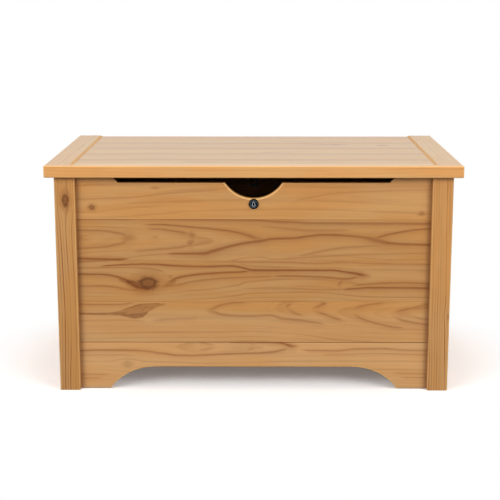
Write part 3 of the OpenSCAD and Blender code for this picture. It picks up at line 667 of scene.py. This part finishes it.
frontBoard3 = {
    "joint": (0.05, 0.2), "seed": 5.5,
    "ridge": [(-420, -5.8), (-261, -0.8), (-110, -4.8), (-22, 2.2), (13, 3.2), (45, -1.8), (91, 0.2),
        (150, 7.2), (223, 4.2), (271, 0.2), (420, 3.2)],
    "depth": [(-420, 29), (-261, 35.5), (-130, 42), (-90, 43.5), (-50, 47.3), (13, 50), (140, 50.4),
        (271, 49.9), (303, 47.9), (420, 46.3)],
    "strokes": [
        (0.5, [(-425, 19.3, 1.5), (-333, 18.2, 1.6), (-302, 14.2, 1.9), (-285, 9.8, 2.4), (-271, 5.2, 3),
            (-256, 3.2, 2.4)]),
        (0.5, [(-425, -22.1, 1.4), (-334, -18.8, 1.5), (-312, -15.2, 1.7), (-289, -9.8, 1.9), (-274, -1.8, 2.6),
            (-256, 3.2, 2.4)]),
        (0.25, [(-425, 14, 1.2), (-356, 5.7, 1.8), (-344, 3, 2.2)]),
        (0.25, [(-425, -8, 1.2), (-356, -0.5, 1.8), (-344, 3, 2.2)]),
        (0.55, [(-245, 22.8, 1), (-200, 21.2, 1.5), (-177, 17.9, 1.9), (-155, 14.2, 2.6), (-139, 8.8, 3.6),
            (-127, 1.2, 3.6)]),
        (0.5, [(-275, -29.2, 1), (-223, -24.4, 1.5), (-178, -20.8, 1.7), (-155, -17.4, 2), (-139, -10.4, 3),
            (-127, 1.2, 3.6)]),
        (0.6, [(-425, 43.8, 1.8), (-288, 43.9, 1.8), (-244, 44.9, 1.7), (-177, 43.5, 1.9), (-95, 42.9, 2.2),
            (-1, 41.8, 2.6), (44, 39.2, 2.6), (88, 37.2, 2.4), (132, 35.2, 2.3), (221, 34.6, 2.3),
            (425, 34.1, 2.2)]),
        (0.8, [(-425, -43.2, 1.9), (-348, -45, 2), (-322, -45.8, 2.8), (-304, -46.2, 2.8), (-284, -45, 2),
            (-262, -42, 1)]),
        (0.3, [(-300, -45, 1.3), (-245, -38.2, 1.5), (-223, -35.8, 1.6), (-187, -33.8, 1.8),
            (-130, -32.5, 1.6)]),
        (0.75, [(-205, -34.2, 1), (-165, -32.8, 2), (-133, -32.6, 2.5), (-108, -31.8, 3.2), (-95, -28.5, 3.4),
            (-72, -21.8, 3), (-46, -14.8, 2.6), (-19, -8.8, 2.6), (21, -3.3, 2.7), (44, 0.4, 2.4),
            (88, 2.2, 2.1), (124, 6.8, 2.2), (155, 9.4, 2.4), (200, 7.8, 2.2), (244, 2.9, 2.9),
            (262, -1.3, 3.8), (276, -4.2, 3.8), (302, -9.3, 2.6), (342, -11.6, 2.1), (425, -12.8, 1.9)]),
        (0.45, [(-300, 4.5, 3), (-282, 3.5, 6.5), (-266, 4.5, 4.5), (-248, 3.5, 2)]),
        (0.5, [(-150, 13, 2), (-140, 10.5, 5), (-131, 8, 5), (-120, 9, 2)]),
        (0.5, [(-152, -8, 2), (-142, -9, 5), (-134, -6, 5), (-124, -2, 2)]),
        (0.4, [(-16, 6, 2), (-2, 3.5, 5), (16, 0.5, 5), (34, 0, 2)]),
        (0.45, [(238, 1, 2), (258, 0.5, 6), (276, -2, 6), (296, -6, 2)]),
        (0.3, [(-392, 4, 2), (-378, 4, 6), (-362, 4, 2)]),
        (0.65, [(-250, 32.2, 0.9), (-206, 32, 1.4), (-134, 26.2, 1.6), (-72, 20.2, 1.8), (-37, 14.8, 2.2),
            (-12, 8.2, 2.7), (10, 0.8, 3.2), (26, -2.8, 2)]),
        (0.65, [(246, 0.8, 1.3), (262, 1.8, 2.4), (275, 5.2, 2.1), (297, 10.8, 1.9), (341, 18.9, 1.6),
            (425, 27.3, 1.5)]),
        (0.4, [(85, -39.8, 0.9), (111, -35.1, 1.4), (155, -25.9, 1.7), (200, -18.9, 1.8), (245, -15.8, 1.7),
            (300, -14.2, 1.3)]),
        (0.35, [(0, 30.2, 1), (50, 25.8, 2), (88, 21.9, 3), (133, 18.9, 3.4), (177, 19.6, 2.6),
            (225, 20.2, 1.2)]),
        (0.35, [(50, -43.2, 0.9), (89, -42.5, 1.4), (133, -40.1, 1.6), (223, -35, 1.6), (312, -32.5, 1.5),
            (425, -31.5, 1.2)]),
    ],
    "knots": [((-215, 4.2), (5, 2.4), (16, 7), 0.3)],
}
frontPiece("front_board_3", frontBoard3)

frontBoard2 = {
    "joint": (0.03, 0.05), "seed": 8.1,
    "ridge": [(-420, 6.8), (-282, 6.8), (-118, 8.8), (-36, 13.8), (107, 15.8), (178, 13.2), (250, 7.8),
        (420, 4.8)],
    "depth": [(-420, 35), (-282, 28.6), (-118, 33.4), (-36, 38.2), (-7, 42.7), (107, 44.4), (224, 43),
        (250, 42.5), (420, 43)],
    "strokes": [
        (0.55, [(-425, 37.3, 1.6), (-358, 42.5, 1.6), (-326, 44, 1.4), (-296, 45, 0.9)]),
        (0.45, [(-425, 26.7, 1.4), (-324, 27.8, 1.4), (-268, 28.4, 1.4), (-235, 26.6, 1.5), (-207, 22.2, 1.7),
            (-192, 15.1, 2.1), (-184, 4.8, 2.3)]),
        (0.8, [(-425, 13.2, 1.7), (-353, 13.4, 1.7), (-325, 12.1, 1.8), (-308, 9.2, 1.9), (-291, 4.2, 2.3),
            (-276, -3.2, 2.5), (-264, -11.8, 2.7), (-252, -17.8, 2.4), (-235, -19.8, 2.1), (-214, -15.8, 1.4)]),
        (0.8, [(-202, -11.2, 1.5), (-184, -2.2, 1.9), (-168, 5, 1.9), (-145, 10.2, 1.8), (-111, 14.3, 1.8),
            (-69, 17.2, 1.7), (-30, 18.8, 1.6), (6, 21.2, 1.2)]),
        (0.45, [(-214, -14.8, 1.6), (-190, -13.2, 2.2), (-168, -10.8, 2.3), (-145, -5, 2.3), (-111, -0.1, 2.1),
            (-69, 4.5, 1.9), (-8, 7.2, 1.8), (20, 8.2, 1.7), (60, 9.3, 1.3)]),
        (0.6, [(30, 8.8, 1.3), (76, 9.7, 1.7), (132, 8.2, 1.8), (171, 6, 1.9), (199, 3.5, 2.2), (222, 6.8, 2.3),
            (246, 11.8, 2.6)]),
        (0.45, [(-425, -16.5, 1.5), (-337, -13.2, 1.6), (-314, -14.8, 1.6), (-292, -18.9, 1.6),
            (-269, -22.4, 1.5), (-236, -23.8, 1)]),
        (0.85, [(-350, 29.8, 0.8), (-279, 35, 1.5), (-234, 36, 1.7), (-167, 32.4, 1.8), (-111, 31, 1.7),
            (-55, 32.4, 1.7), (-36, 30.6, 1.8), (-16, 26.2, 2), (3, 22.9, 2.2), (76, 22.8, 1.9),
            (166, 22.8, 1.8), (194, 19.9, 1.9), (222, 15.8, 2.3), (244, 11.8, 2.8), (264, 10.2, 1.2)]),
        (0.5, [(180, -14.2, 1.2), (188, -6.7, 2.3), (202, 2.1, 2)]),
        (0.45, [(-80, 40.8, 0.7), (-8, 41.1, 1.3), (76, 40.5, 1.4), (132, 38.5, 1.3), (199, 40.4, 1.4),
            (244, 38.6, 1.4), (300, 37.2, 1.5), (425, 35.3, 1.6)]),
        (0.35, [(-30, -19.8, 0.9), (48, -17.9, 1.3), (104, -19.1, 1.4), (160, -20.9, 1.4), (215, -19.2, 1.2)]),
        (0.74, [(180, -21.2, 1), (205, -19.9, 1.4), (231, -18.1, 1.7), (262, -16.2, 1.9), (329, -16.9, 2),
            (425, -17.4, 2.3)]),
        (0.55, [(205, -13.8, 1), (261, -7.5, 1.6), (317, -5.3, 1.8), (425, -10.5, 1.9)]),
    ],
    "blots": [
        (0.4, [(-300, 2, 1.5), (-284, -2, 6), (-268, -7, 10), (-254, -8, 13), (-240, -8, 13), (-222, -7, 13),
            (-211, -5, 9), (-200, -2, 2)]),
        (0.75, [(-286, -1, 1.5), (-276, -4, 4.5), (-264, -8, 7), (-252, -11, 8), (-238, -14, 7), (-222, -15, 4),
            (-210, -15, 1.5)]),
        (0.4, [(-200, -14, 1.5), (-190, -10, 4.5), (-180, -6, 5), (-168, -2, 2)]),
        (0.3, [(-190, 10, 1.5), (-183, 7, 4), (-176, 4, 1.5)]),
    ],
    "knots": [((-233, -7), (28, 18), (50, 22), 0.92)],
}
frontPiece("front_board_2", frontBoard2)

# Painted light: this board's raised tone and pale wash stand partly for light bounced up from the floor, the
# rest is the board's own colour
frontBoard1 = {
    "joint": (0.9, 0.03), "spacing": 8.4, "contrast": 0.34, "tone": 1.05, "seed": 4.4,
    "ridge": [(-420, 18.2), (-303, 22.2), (-105, 25.2), (72, 30.2), (130, 26.2), (215, 19.2), (307, 18.2),
        (342, 21.2), (420, 22.2)],
    "depth": [(-420, 62), (-200, 61), (-105, 60), (13, 57.5), (72, 53), (130, 50), (215, 45), (307, 39),
        (342, 36), (420, 30)],
    "pales": [(0.09, [(-420, -40, 60), (420, -40, 60)])],
    "strokes": [
        (0.5, [(-425, 37.9, 1.4), (-326, 37.1, 1.4), (-292, 37.8, 1.4), (-272, 40.4, 1.4), (-250, 42.9, 1.1)]),
        (0.5, [(-114, 23.2, 1.6), (-104, 24.6, 2.5), (-92, 27.9, 2.2), (-70, 36.4, 1.7), (-44, 41.4, 1.5),
            (0, 42.9, 1.2)]),
        (0.5, [(-114, 23.2, 1.6), (-92, 21.4, 2.4), (-70, 14.8, 1.9), (-41, 11.9, 1.7), (-8, 11.2, 1.6),
            (34, 12.9, 1.7), (62, 6.2, 2), (105, 1.9, 2.1), (133, -2.4, 1.9), (170, -9.6, 1.2)]),
        (0.3, [(-235, -1.1, 1), (-211, 1.4, 1.6), (-169, 5.3, 1.8), (-140, 6.2, 1.8), (-105, 10.4, 1.2)]),
        (0.5, [(65, 30.2, 1.8), (74, 34.8, 2), (88, 43.4, 1.7)]),
        (0.5, [(65, 30.2, 1.8), (75, 26.7, 2), (88, 19.4, 1.8), (105, 13.6, 1.6), (120, 8.9, 1)]),
        (0.6, [(123, 25, 1.8), (138, 32, 2), (152, 37.8, 1.8), (170, 43.4, 1.5)]),
        (0.6, [(123, 25, 1.8), (150, 18, 1.9), (173, 9.3, 1.7), (195, 2, 1.6), (208, -2.6, 1)]),
        (0.5, [(208, 21.6, 1.8), (223, 29.2, 2), (245, 35.7, 1.7), (273, 40.1, 1.5), (305, 42.9, 1.1)]),
        (0.5, [(208, 21.6, 1.8), (219, 16.7, 2.1), (232, 9.4, 1.9), (252, 0.7, 1.7), (274, -5.2, 1.6),
            (303, -12.4, 1.6), (345, -17.1, 1)]),
        (0.5, [(300, 15.3, 1.8), (319, 22.7, 1.9), (344, 28.5, 1.7), (372, 35.8, 1.6), (425, 49.3, 1.5)]),
        (0.5, [(300, 15.3, 1.8), (311, 10.4, 2), (325, 3.7, 1.8), (348, -2.1, 1.7), (425, -13.7, 1.6)]),
        (0.4, [(337, 20.4, 1.6), (352, 25.9, 1.7), (425, 40.3, 1.5)]),
        (0.4, [(337, 20.4, 1.6), (347, 14, 1.8), (359, 8.3, 1.7), (373, 5.2, 1.6), (425, 1.5, 1.5)]),
        (0.25, [(-425, 0, 1.2), (-300, 1.4, 1.3), (-230, -2.6, 1.1)]),
    ],
    "blots": [
        (0.44, [(-425, 16.3, 2.8), (-338, 15.5, 3), (-316, 15.9, 4), (-300, 16.8, 6), (-287, 18.2, 9),
            (-270, 19.4, 13), (-255, 21.8, 16), (-243, 25.1, 14), (-233, 28.6, 9.5), (-223, 32.1, 6.5),
            (-209, 35.6, 3.5), (-192, 38.6, 1.2)]),
        (0.66, [(-300, 14.4, 1), (-282, 12.4, 4), (-268, 10.9, 6), (-252, 11.9, 6.5), (-240, 16.4, 4),
            (-231, 22.4, 1)]),
        (0.6, [(-425, 16, 2.4), (-338, 15.5, 2.6), (-316, 15.9, 3), (-296, 16.6, 3.4), (-276, 18, 1)]),
        (0.6, [(-292, 24, 0.8), (-268, 31.4, 1.6), (-250, 36.4, 1.8), (-232, 38, 1.4), (-204, 39.6, 0.8)]),
        (0.6, [(-252, 19, 1), (-245, 25, 2.2), (-239, 31, 2.6), (-233, 36, 1.2)]),
        (0.5, [(-262, 26.4, 1), (-248, 29.4, 3), (-232, 31.4, 4), (-216, 34.9, 3), (-202, 37.4, 1)]),
    ],
    "knots": [((154, 39.6), (5, 2.6), (14, 7), 0.5)],
}
frontPiece("front_board_1", frontBoard1)

# Apron with the arch
# Painted light: the apron's raised tone and pale wash stand partly for light bounced up from the floor, the
# rest is its own colour
frontApron = {
    "joint": (0.0, 0.9), "spacing": 6.5, "contrast": 0.24, "tone": 1.16, "worn": 1.0, "seed": 9.3,
    "ridge": [(-420, 39), (420, 38)],
    "depth": [(-420, 43.9), (-187, 43.6), (-91, 40.3), (-60, 41), (12, 43), (85, 45), (200, 45.6), (420, 45.9)],
    "pales": [(0.1, [(-420, 0, 80), (420, 0, 80)])],
    "strokes": [
        (0.6, [(-425, 28.3, 1.6), (-329, 31.8, 1.6), (-283, 31.6, 1.6), (-244, 29.9, 1.6), (-204, 24.6, 1.7),
            (-141, 19.4, 1.7), (-113, 20.4, 1.6), (-56, 23.4, 1.5), (-8, 25, 1.5), (20, 26, 1.6),
            (63, 32.5, 1.9), (77, 36.9, 2.2), (90, 41.4, 2.6)]),
        (0.8, [(-70, 50.5, 1), (9, 50.6, 1.5), (49, 50, 1.7), (68, 47.3, 2.1), (88, 41.6, 2.8),
            (108, 40.5, 1)]),
        (0.4, [(-24, 49.5, 1.2), (-8, 47.6, 1.5), (12, 42, 2)]),
        (0.4, [(-24, 32, 1.2), (-8, 35, 1.5), (12, 42, 2)]),
        (0.4, [(-145, 50.5, 1), (-118, 49.5, 1.4), (-98, 46.1, 1.7), (-77, 41, 2)]),
        (0.35, [(-135, 30.5, 1), (-118, 32.2, 1.4), (-99, 35.2, 1.6), (-77, 41, 2)]),
        (0.5, [(95, 33, 0.9), (174, 31.2, 1.5), (219, 34.6, 1.6), (276, 35.8, 1.6), (332, 33, 1.6),
            (425, 30.6, 1.5)]),
        (0.35, [(140, 21.5, 0.9), (219, 23, 1.4), (276, 24.8, 1.4), (333, 23.2, 1.4), (425, 20, 1.4)]),
        (0.3, [(-425, 18, 1.3), (-320, 21, 1.3), (-250, 18, 1)]),
        (0.35, [(-425, -25, 1.3), (-350, -25, 1.3), (-310, -24, 1)]),
        (0.35, [(-425, -32.5, 1.3), (-355, -33.5, 1.3), (-325, -33, 1)]),
        (0.35, [(300, -21, 1), (340, -22, 1.4), (425, -22.9, 1.4)]),
        (0.35, [(315, -30, 1), (350, -31, 1.4), (425, -31.9, 1.4)]),
    ],
    "knots": [((-281, -1), (11, 8), (30, 15), 0.28)],
}
frontPiece("front_apron", frontApron, [(frontWall["archEdge"], archRim)])
print("front wall made")


# The other walls: boards of one kind, each with grain of its own

wild = {
    "centre": (-30, 30), "lean": (-8, 8), "bend": (-5, 5), "near": (30, 60), "nearBend": (-3, 3),
    "waver": (4, 9), "spacing": (6.5, 9.0), "contrast": (0.55, 0.8), "tone": (0.96, 1.03), "seed": (0, 20),
    "knotSize": (5, 11), "knotShade": (0.6, 0.95),
}


def someGrain(number, knotty=0.5, length=400, height=40):
    draw = random.Random(number * 7 + 1)

    def some(what):
        return draw.uniform(*wild[what])

    side = draw.choice((-1, 1))
    centre, lean, near = some("centre"), some("lean"), some("near")
    grain = {
        "ridge": [(-450, centre - lean), (-150, centre + some("bend")), (150, centre + some("bend")),
                  (450, centre + lean)],
        "depth": [(-450, near - 11 * side), (-140, near + some("nearBend")), (160, near + 7 * side),
                  (450, near + 14 * side)],
    }
    for what in ("waver", "spacing", "contrast", "tone", "seed"):
        grain[what] = some(what)
    grain["knots"] = []
    while draw.random() < knotty and len(grain["knots"]) < 2:
        size = some("knotSize")
        at = (draw.uniform(-length, length), draw.uniform(-height, height))
        grain["knots"].append((at, (size * 1.4, size * 0.8), (size * 4, size * 2), some("knotShade")))
    return grain


plainJoint = (0.4, 0.4)
for side, face, first in (("left", "-x", 20), ("right", "+x", 40)):
    for number in (1, 2, 3, 4):
        woodPiece(f"{side}_board_{number}", "chest", "y", "z", face, joint=plainJoint,
                  **someGrain(number + first, 0.5, 190, 32))
    woodPiece(f"{side}_apron", "chest", "y", "z", face, [(frontWall["archEdge"], archRim)], (0.0, 0.5),
              **someGrain(first + 5, 0.3, 190, 20))
for number, node in enumerate(("back_board_1", "back_board_2", "back_board_3", "back_apron", "back_rail")):
    woodPiece(node, "chest", "x", "z", "+y", joint=plainJoint, **someGrain(60 + number, 0.5, 340, 30))
print("side and back walls made")


# Floor panel on its cleats

floorParts = {"panelEdge": 0.0008, "cleatEdge": 0.0015}
piece = cleanCopy("floor_panel")
soften(piece, floorParts["panelEdge"], 2, longEdge(0.02))
dress(piece, "floor_panel", plywood, "chest")
for number, (node, along, face) in enumerate((("cleat_front", "x", "+y"), ("cleat_back", "x", "-y"),
                                              ("cleat_left", "y", "+x"), ("cleat_right", "y", "-x"))):
    woodPiece(node, "chest", along, "z", face, [(floorParts["cleatEdge"], longEdge(0.1))],
              **someGrain(80 + number, 0.0))
print("floor made")


# Lid. gloss: weight and roughness of its lacquer; slope: width and depth of the battens' planed edge;
# and how far from a board's middle its band of painted shade runs, as a part of half its width

lid = {
    "gloss": (0.56, 0.26), "gold": 1.0,
    "slope": (0.0065, 0.0024), "slopeWearHighlight": 0.55,
    "slopeFinish": {"gloss": (0, 0.3), "tone": 0.94, "ior": 1.15},
    "seam": 0.38, "seamShadeAt": 0.93, "railWorn": 0.55,
    "lid_front_rail": {"ridge": [(-450, -30), (0, -34), (450, -28)], "depth": [(-450, 20), (450, 24)],
                       "spacing": 6.0, "contrast": 0.3, "tone": 1.3, "seed": 6.6},
    "lid_batten_left": {"ridge": [(-300, 30), (300, 38)], "spacing": 6.5, "contrast": 0.5, "tone": 1.02,
                        "seed": 1.9},
    "lid_batten_right": {"ridge": [(-300, -36), (300, -30)], "spacing": 6.5, "contrast": 0.5, "tone": 1.02,
                         "seed": 10.9},
    "pales": [(0.36, [(-420, -36, 26), (420, -36, 26)])],
}


# A batten's inner upper edge is planed to a wide slope, lightened nearly as much as an arris, partly as wear
# and partly as painted highlight
def slopedBatten(side):
    node = f"lid_batten_{side}"
    low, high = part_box(node)
    sign, inner = (1, high.x) if side == "left" else (-1, low.x)
    wide, deep = lid["slope"]
    piece = cleanCopy(node)
    bpy.ops.object.mode_set(mode="EDIT")
    bpy.ops.mesh.select_all(action="SELECT")
    bpy.ops.mesh.bisect(plane_co=(inner - sign * wide, 0, 0), plane_no=(1, 0, 0))
    pickVertices(piece, lambda at: sign * (inner - at.x) < wide - 0.0005 and at.z > high.z - 0.0015)
    bpy.ops.transform.translate(value=(0, 0, -deep))
    bpy.ops.object.mode_set(mode="OBJECT")
    markArris(piece, (), None)
    upper = makePine(node, node, "y", "x", "+z", gloss=lid["gloss"], gold=lid["gold"], **lid[node])
    dress(piece, node, upper, "lid")
    slope = makePine(node + " slope", node, "y", "x", "+z", **{**lid[node], **lid["slopeFinish"]})
    piece.data.materials.append(slope)
    for face in piece.data.polygons:
        if sign * (inner - face.center.x) < wide and face.normal.z > 0.5 and sign * face.normal.x > 0.1:
            face.material_index = 1
            piece.data.attributes["arris"].data[face.index].value = lid["slopeWearHighlight"]


slopedBatten("left")
slopedBatten("right")
woodPiece("lid_front_rail", "lid", "x", "z", "-y", gloss=lid["gloss"], worn=lid["railWorn"],
          **lid["lid_front_rail"])
for number in (1, 2, 3, 4, 5):
    low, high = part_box(f"lid_board_{number}")
    edge = (high.y - low.y) * 500 * lid["seamShadeAt"]
    sides = (1,) if number == 1 else (-1, 1)
    # Painted shade along each lid board's long edges, as cupped boards would show
    seamShades = [(lid["seam"], [(-470, end * edge, 8), (0, end * edge, 10), (470, end * edge, 8)]) for end in sides]
    woodPiece(f"lid_board_{number}", "lid", "x", "y", "+z", joint=plainJoint, gloss=lid["gloss"],
              gold=lid["gold"], strokes=seamShades, pales=lid["pales"] if number == 1 else [],
              **someGrain(100 + number, 0.35, 340, 30))
woodPiece("lid_back_rail", "lid", "x", "y", "+z", gloss=lid["gloss"], **someGrain(110, 0.0))
print("lid made")


# Metal, rubber, nylon and dowels

def leaves(body):
    return "hinge_black", [f"hinge_{place}_{body}_leaf" for place in ("left", "middle", "right")]


small = {
    "edge": 0.0004,
    "chest": {
        hingeBlack: leaves("body"),
        lockBlack: ("lock_black", ["lock_housing"]),
        steel: ("steel", ["cleat_screws", "hinge_pins", "hinge_body_screws", "lock_nut"]),
        beech: ("beech", ["wall_dowels"]),
        rubber: ("rubber_pad", ["lid_pads"]),
    },
    "lid": {
        hingeBlack: leaves("lid"),
        steel: ("steel", ["hinge_lid_screws", "striker_screws"]),
        matBlack: ("lock_black", ["lock_striker"]),
        beech: ("beech", ["lid_dowels"]),
        nylon: ("nylon", ["hinge_sleeves"]),
    },
    "lock_core": {steel: ("steel", ["lock_cam", "lock_cam_screw"]), lockBlack: ("lock_black", ["lock_plug"])},
}
for body in ("chest", "lid", "lock_core"):
    for material, (slotName, members) in small[body].items():
        for node in members:
            piece = cleanCopy(node)
            if "screw" not in node and "dowel" not in node and "sleeve" not in node:
                soften(piece, small["edge"], 2, longEdge(0.0002))
            dress(piece, node, material, body)
print("small parts made")


# Lock: a raised bright rim round the key slot, wider below than above, and a ring round the plug

# The primitive just added, named and open for editing
def opened(name):
    piece = bpy.context.object
    piece.name = piece.data.name = name
    bpy.ops.object.transform_apply(location=True, rotation=True, scale=True)
    bpy.ops.object.mode_set(mode="EDIT")
    return piece


keyRim = {"head": 0.003, "drop": 0.0046, "flare": 1.3, "rim": 0.0015, "proud": 0.0006, "edge": 0.00015}
low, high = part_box("lock_plug")
lockZ = (low.z + high.z) / 2
upperZ = lockZ + keyRim["drop"] / 2
bpy.ops.object.select_all(action="DESELECT")
bpy.ops.mesh.primitive_circle_add(vertices=32, radius=keyRim["head"], fill_type="NGON",
                                  rotation=(math.pi / 2, 0, 0), location=(0, low.y, upperZ))
rim = opened("keyRim")
pickVertices(rim, lambda at: at.z < upperZ - 0.0004)
bpy.ops.transform.translate(value=(0, 0, -keyRim["drop"]))
bpy.ops.transform.resize(value=(keyRim["flare"], 1, 1), center_override=(0, low.y, lockZ))
bpy.ops.mesh.select_all(action="SELECT")
bpy.ops.mesh.select_mode(type="FACE")
bpy.ops.mesh.inset(thickness=keyRim["rim"])
bpy.ops.mesh.delete(type="FACE")
bpy.ops.object.mode_set(mode="OBJECT")
modify(rim, "thickness", "SOLIDIFY", thickness=keyRim["proud"], offset=1.0)
modify(rim, "edge", "BEVEL", width=keyRim["edge"], segments=2)
bpy.ops.object.shade_smooth_by_angle(angle=math.radians(35))
rim.data.materials.append(keyMetal)
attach(rim, "lock_core")

# Polished ring on the lock's face
lockRing = {"radius": 0.0077, "thick": 0.0008, "flat": 0.45}
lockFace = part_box("lock_housing")[0].y
bpy.ops.object.select_all(action="DESELECT")
bpy.ops.mesh.primitive_torus_add(major_radius=lockRing["radius"], minor_radius=lockRing["thick"],
                                 major_segments=64, minor_segments=12, rotation=(math.pi / 2, 0, 0),
                                 location=(0, lockFace, lockZ))
ring = opened("lockRing")
bpy.ops.mesh.select_all(action="SELECT")
bpy.ops.transform.resize(value=(1, lockRing["flat"], 1), center_override=(0, lockFace, lockZ))
bpy.ops.object.mode_set(mode="OBJECT")
bpy.ops.object.shade_smooth_by_angle(angle=math.radians(60))
ring.data.materials.append(gunmetal)
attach(ring, "chest")
print("lock made")


# Stage: white floor that keeps the chest's shadow, white surroundings, wide soft light from the front

stage = {
    "floorSize": 16, "floorAt": 2.0, "bounce": 0.2, "lit": 1.25, "lift": 0.17, "warm": (1.0, 0.86, 0.8, 1.0),
    "fadeSize": (0.75, 0.62, 1), "near": 0.66, "far": 0.95, "surround": 0.26,
    "boxPower": 42.0, "boxSize": (2.2, 0.9), "boxAt": (1.95, -2.05, 1.35), "boxTilt": 68, "boxAim": -0.25,
    "backPower": 14.0, "backAt": (0.0, 2.6, 1.0), "backTilt": 80,
    "topPower": 15.0, "topSize": (2.4, 1.6), "topAt": (0, -0.2, 2.5),
}
bpy.ops.mesh.primitive_plane_add(size=stage["floorSize"], location=(0, stage["floorAt"], 0))
floor = bpy.context.object
floor.name = "floor"
floorMaterial = bpy.data.materials.new("studio floor")
floorMaterial.use_nodes = True
tree = floorMaterial.node_tree
tree.nodes.clear()
white = (1, 1, 1, 1)


def plain(kind, **sockets):
    node = newNode(tree, kind)
    for socket, value in sockets.items():
        feed(tree, node.inputs[socket], value)
    return node.outputs[0]


# Seen by the camera the floor is lifted a little by a faint warm glow, painted warm light in the chest's
# shadow, and runs into plain white away from the chest
seenBy = newNode(tree, "LightPath").outputs
middle = (0, stage["floorAt"] / stage["fadeSize"][1], 0)
fromChest = vectors(tree, "LENGTH", stretched(tree, objectPlace(tree), stage["fadeSize"], middle))["Value"]
lit = plain("BsdfDiffuse", Color=[stage["lit"]] * 3 + [1])
lifted = plain("Emission", Color=stage["warm"], Strength=stage["lift"])
close = newNode(tree, "AddShader", lit, lifted).outputs[0]
far = plain("Emission", Color=white, Strength=1.0)
seen = newNode(tree, "MixShader", ramp(tree, fromChest, stage["near"], stage["far"]), close, far).outputs[0]
bounced = plain("BsdfDiffuse", Color=[stage["bounce"]] * 3 + [1])
newNode(tree, "OutputMaterial", newNode(tree, "MixShader", seenBy["Is Camera Ray"], bounced, seen).outputs[0])
floor.data.materials.append(floorMaterial)

world = bpy.data.worlds.new("white studio")
bpy.context.scene.world = world
world.use_nodes = True
tree = world.node_tree
tree.nodes.clear()
seenBy = newNode(tree, "LightPath").outputs
seen = calc(tree, "MAXIMUM", seenBy["Is Camera Ray"], seenBy["Is Glossy Ray"])
seen = calc(tree, "MAXIMUM", seen, seenBy["Is Transmission Ray"])
strength = calc(tree, "MULTIPLY_ADD", seen, 1.0 - stage["surround"], stage["surround"])
newNode(tree, "OutputWorld", plain("Background", Color=white, Strength=strength))


def softBox(name, at, size, power):
    turn = math.atan2(at[0], stage["boxAim"] - at[1])
    bpy.ops.object.light_add(type="AREA", location=at, rotation=(math.radians(stage["boxTilt"]), 0, turn))
    lamp = bpy.context.object
    lamp.name = name
    lamp.data.shape = "RECTANGLE"
    lamp.data.size, lamp.data.size_y = size
    lamp.data.energy = power
    lamp.visible_camera = lamp.visible_glossy = False
    return lamp


across, behind, up = stage["boxAt"]
softBox("left box", (-across, behind, up), stage["boxSize"], stage["boxPower"])
softBox("right box", (across, behind, up), stage["boxSize"], stage["boxPower"])
backBox = softBox("back box", stage["backAt"], stage["boxSize"], stage["backPower"])
backBox.rotation_euler = (math.radians(stage["backTilt"]), 0, math.pi)
topBox = softBox("top box", stage["topAt"], stage["topSize"], stage["topPower"])
topBox.rotation_euler = (0, 0, 0)

# Camera as in the photograph
view = {"at": (0.0159, -2.8998, 0.8857), "tilt": 78.098, "yaw": 0.322, "lens": 89.11, "sensor": 36,
        "shift": (-0.0083, -0.0085)}
turned = (math.radians(view["tilt"]), 0, math.radians(view["yaw"]))
bpy.ops.object.camera_add(location=view["at"], rotation=turned)
camera = bpy.context.object
camera.data.lens = view["lens"]
camera.data.sensor_width = view["sensor"]
camera.data.shift_x, camera.data.shift_y = view["shift"]
bpy.context.scene.camera = camera
bpy.context.scene.view_settings.view_transform = "Standard"
print("stage and camera set")
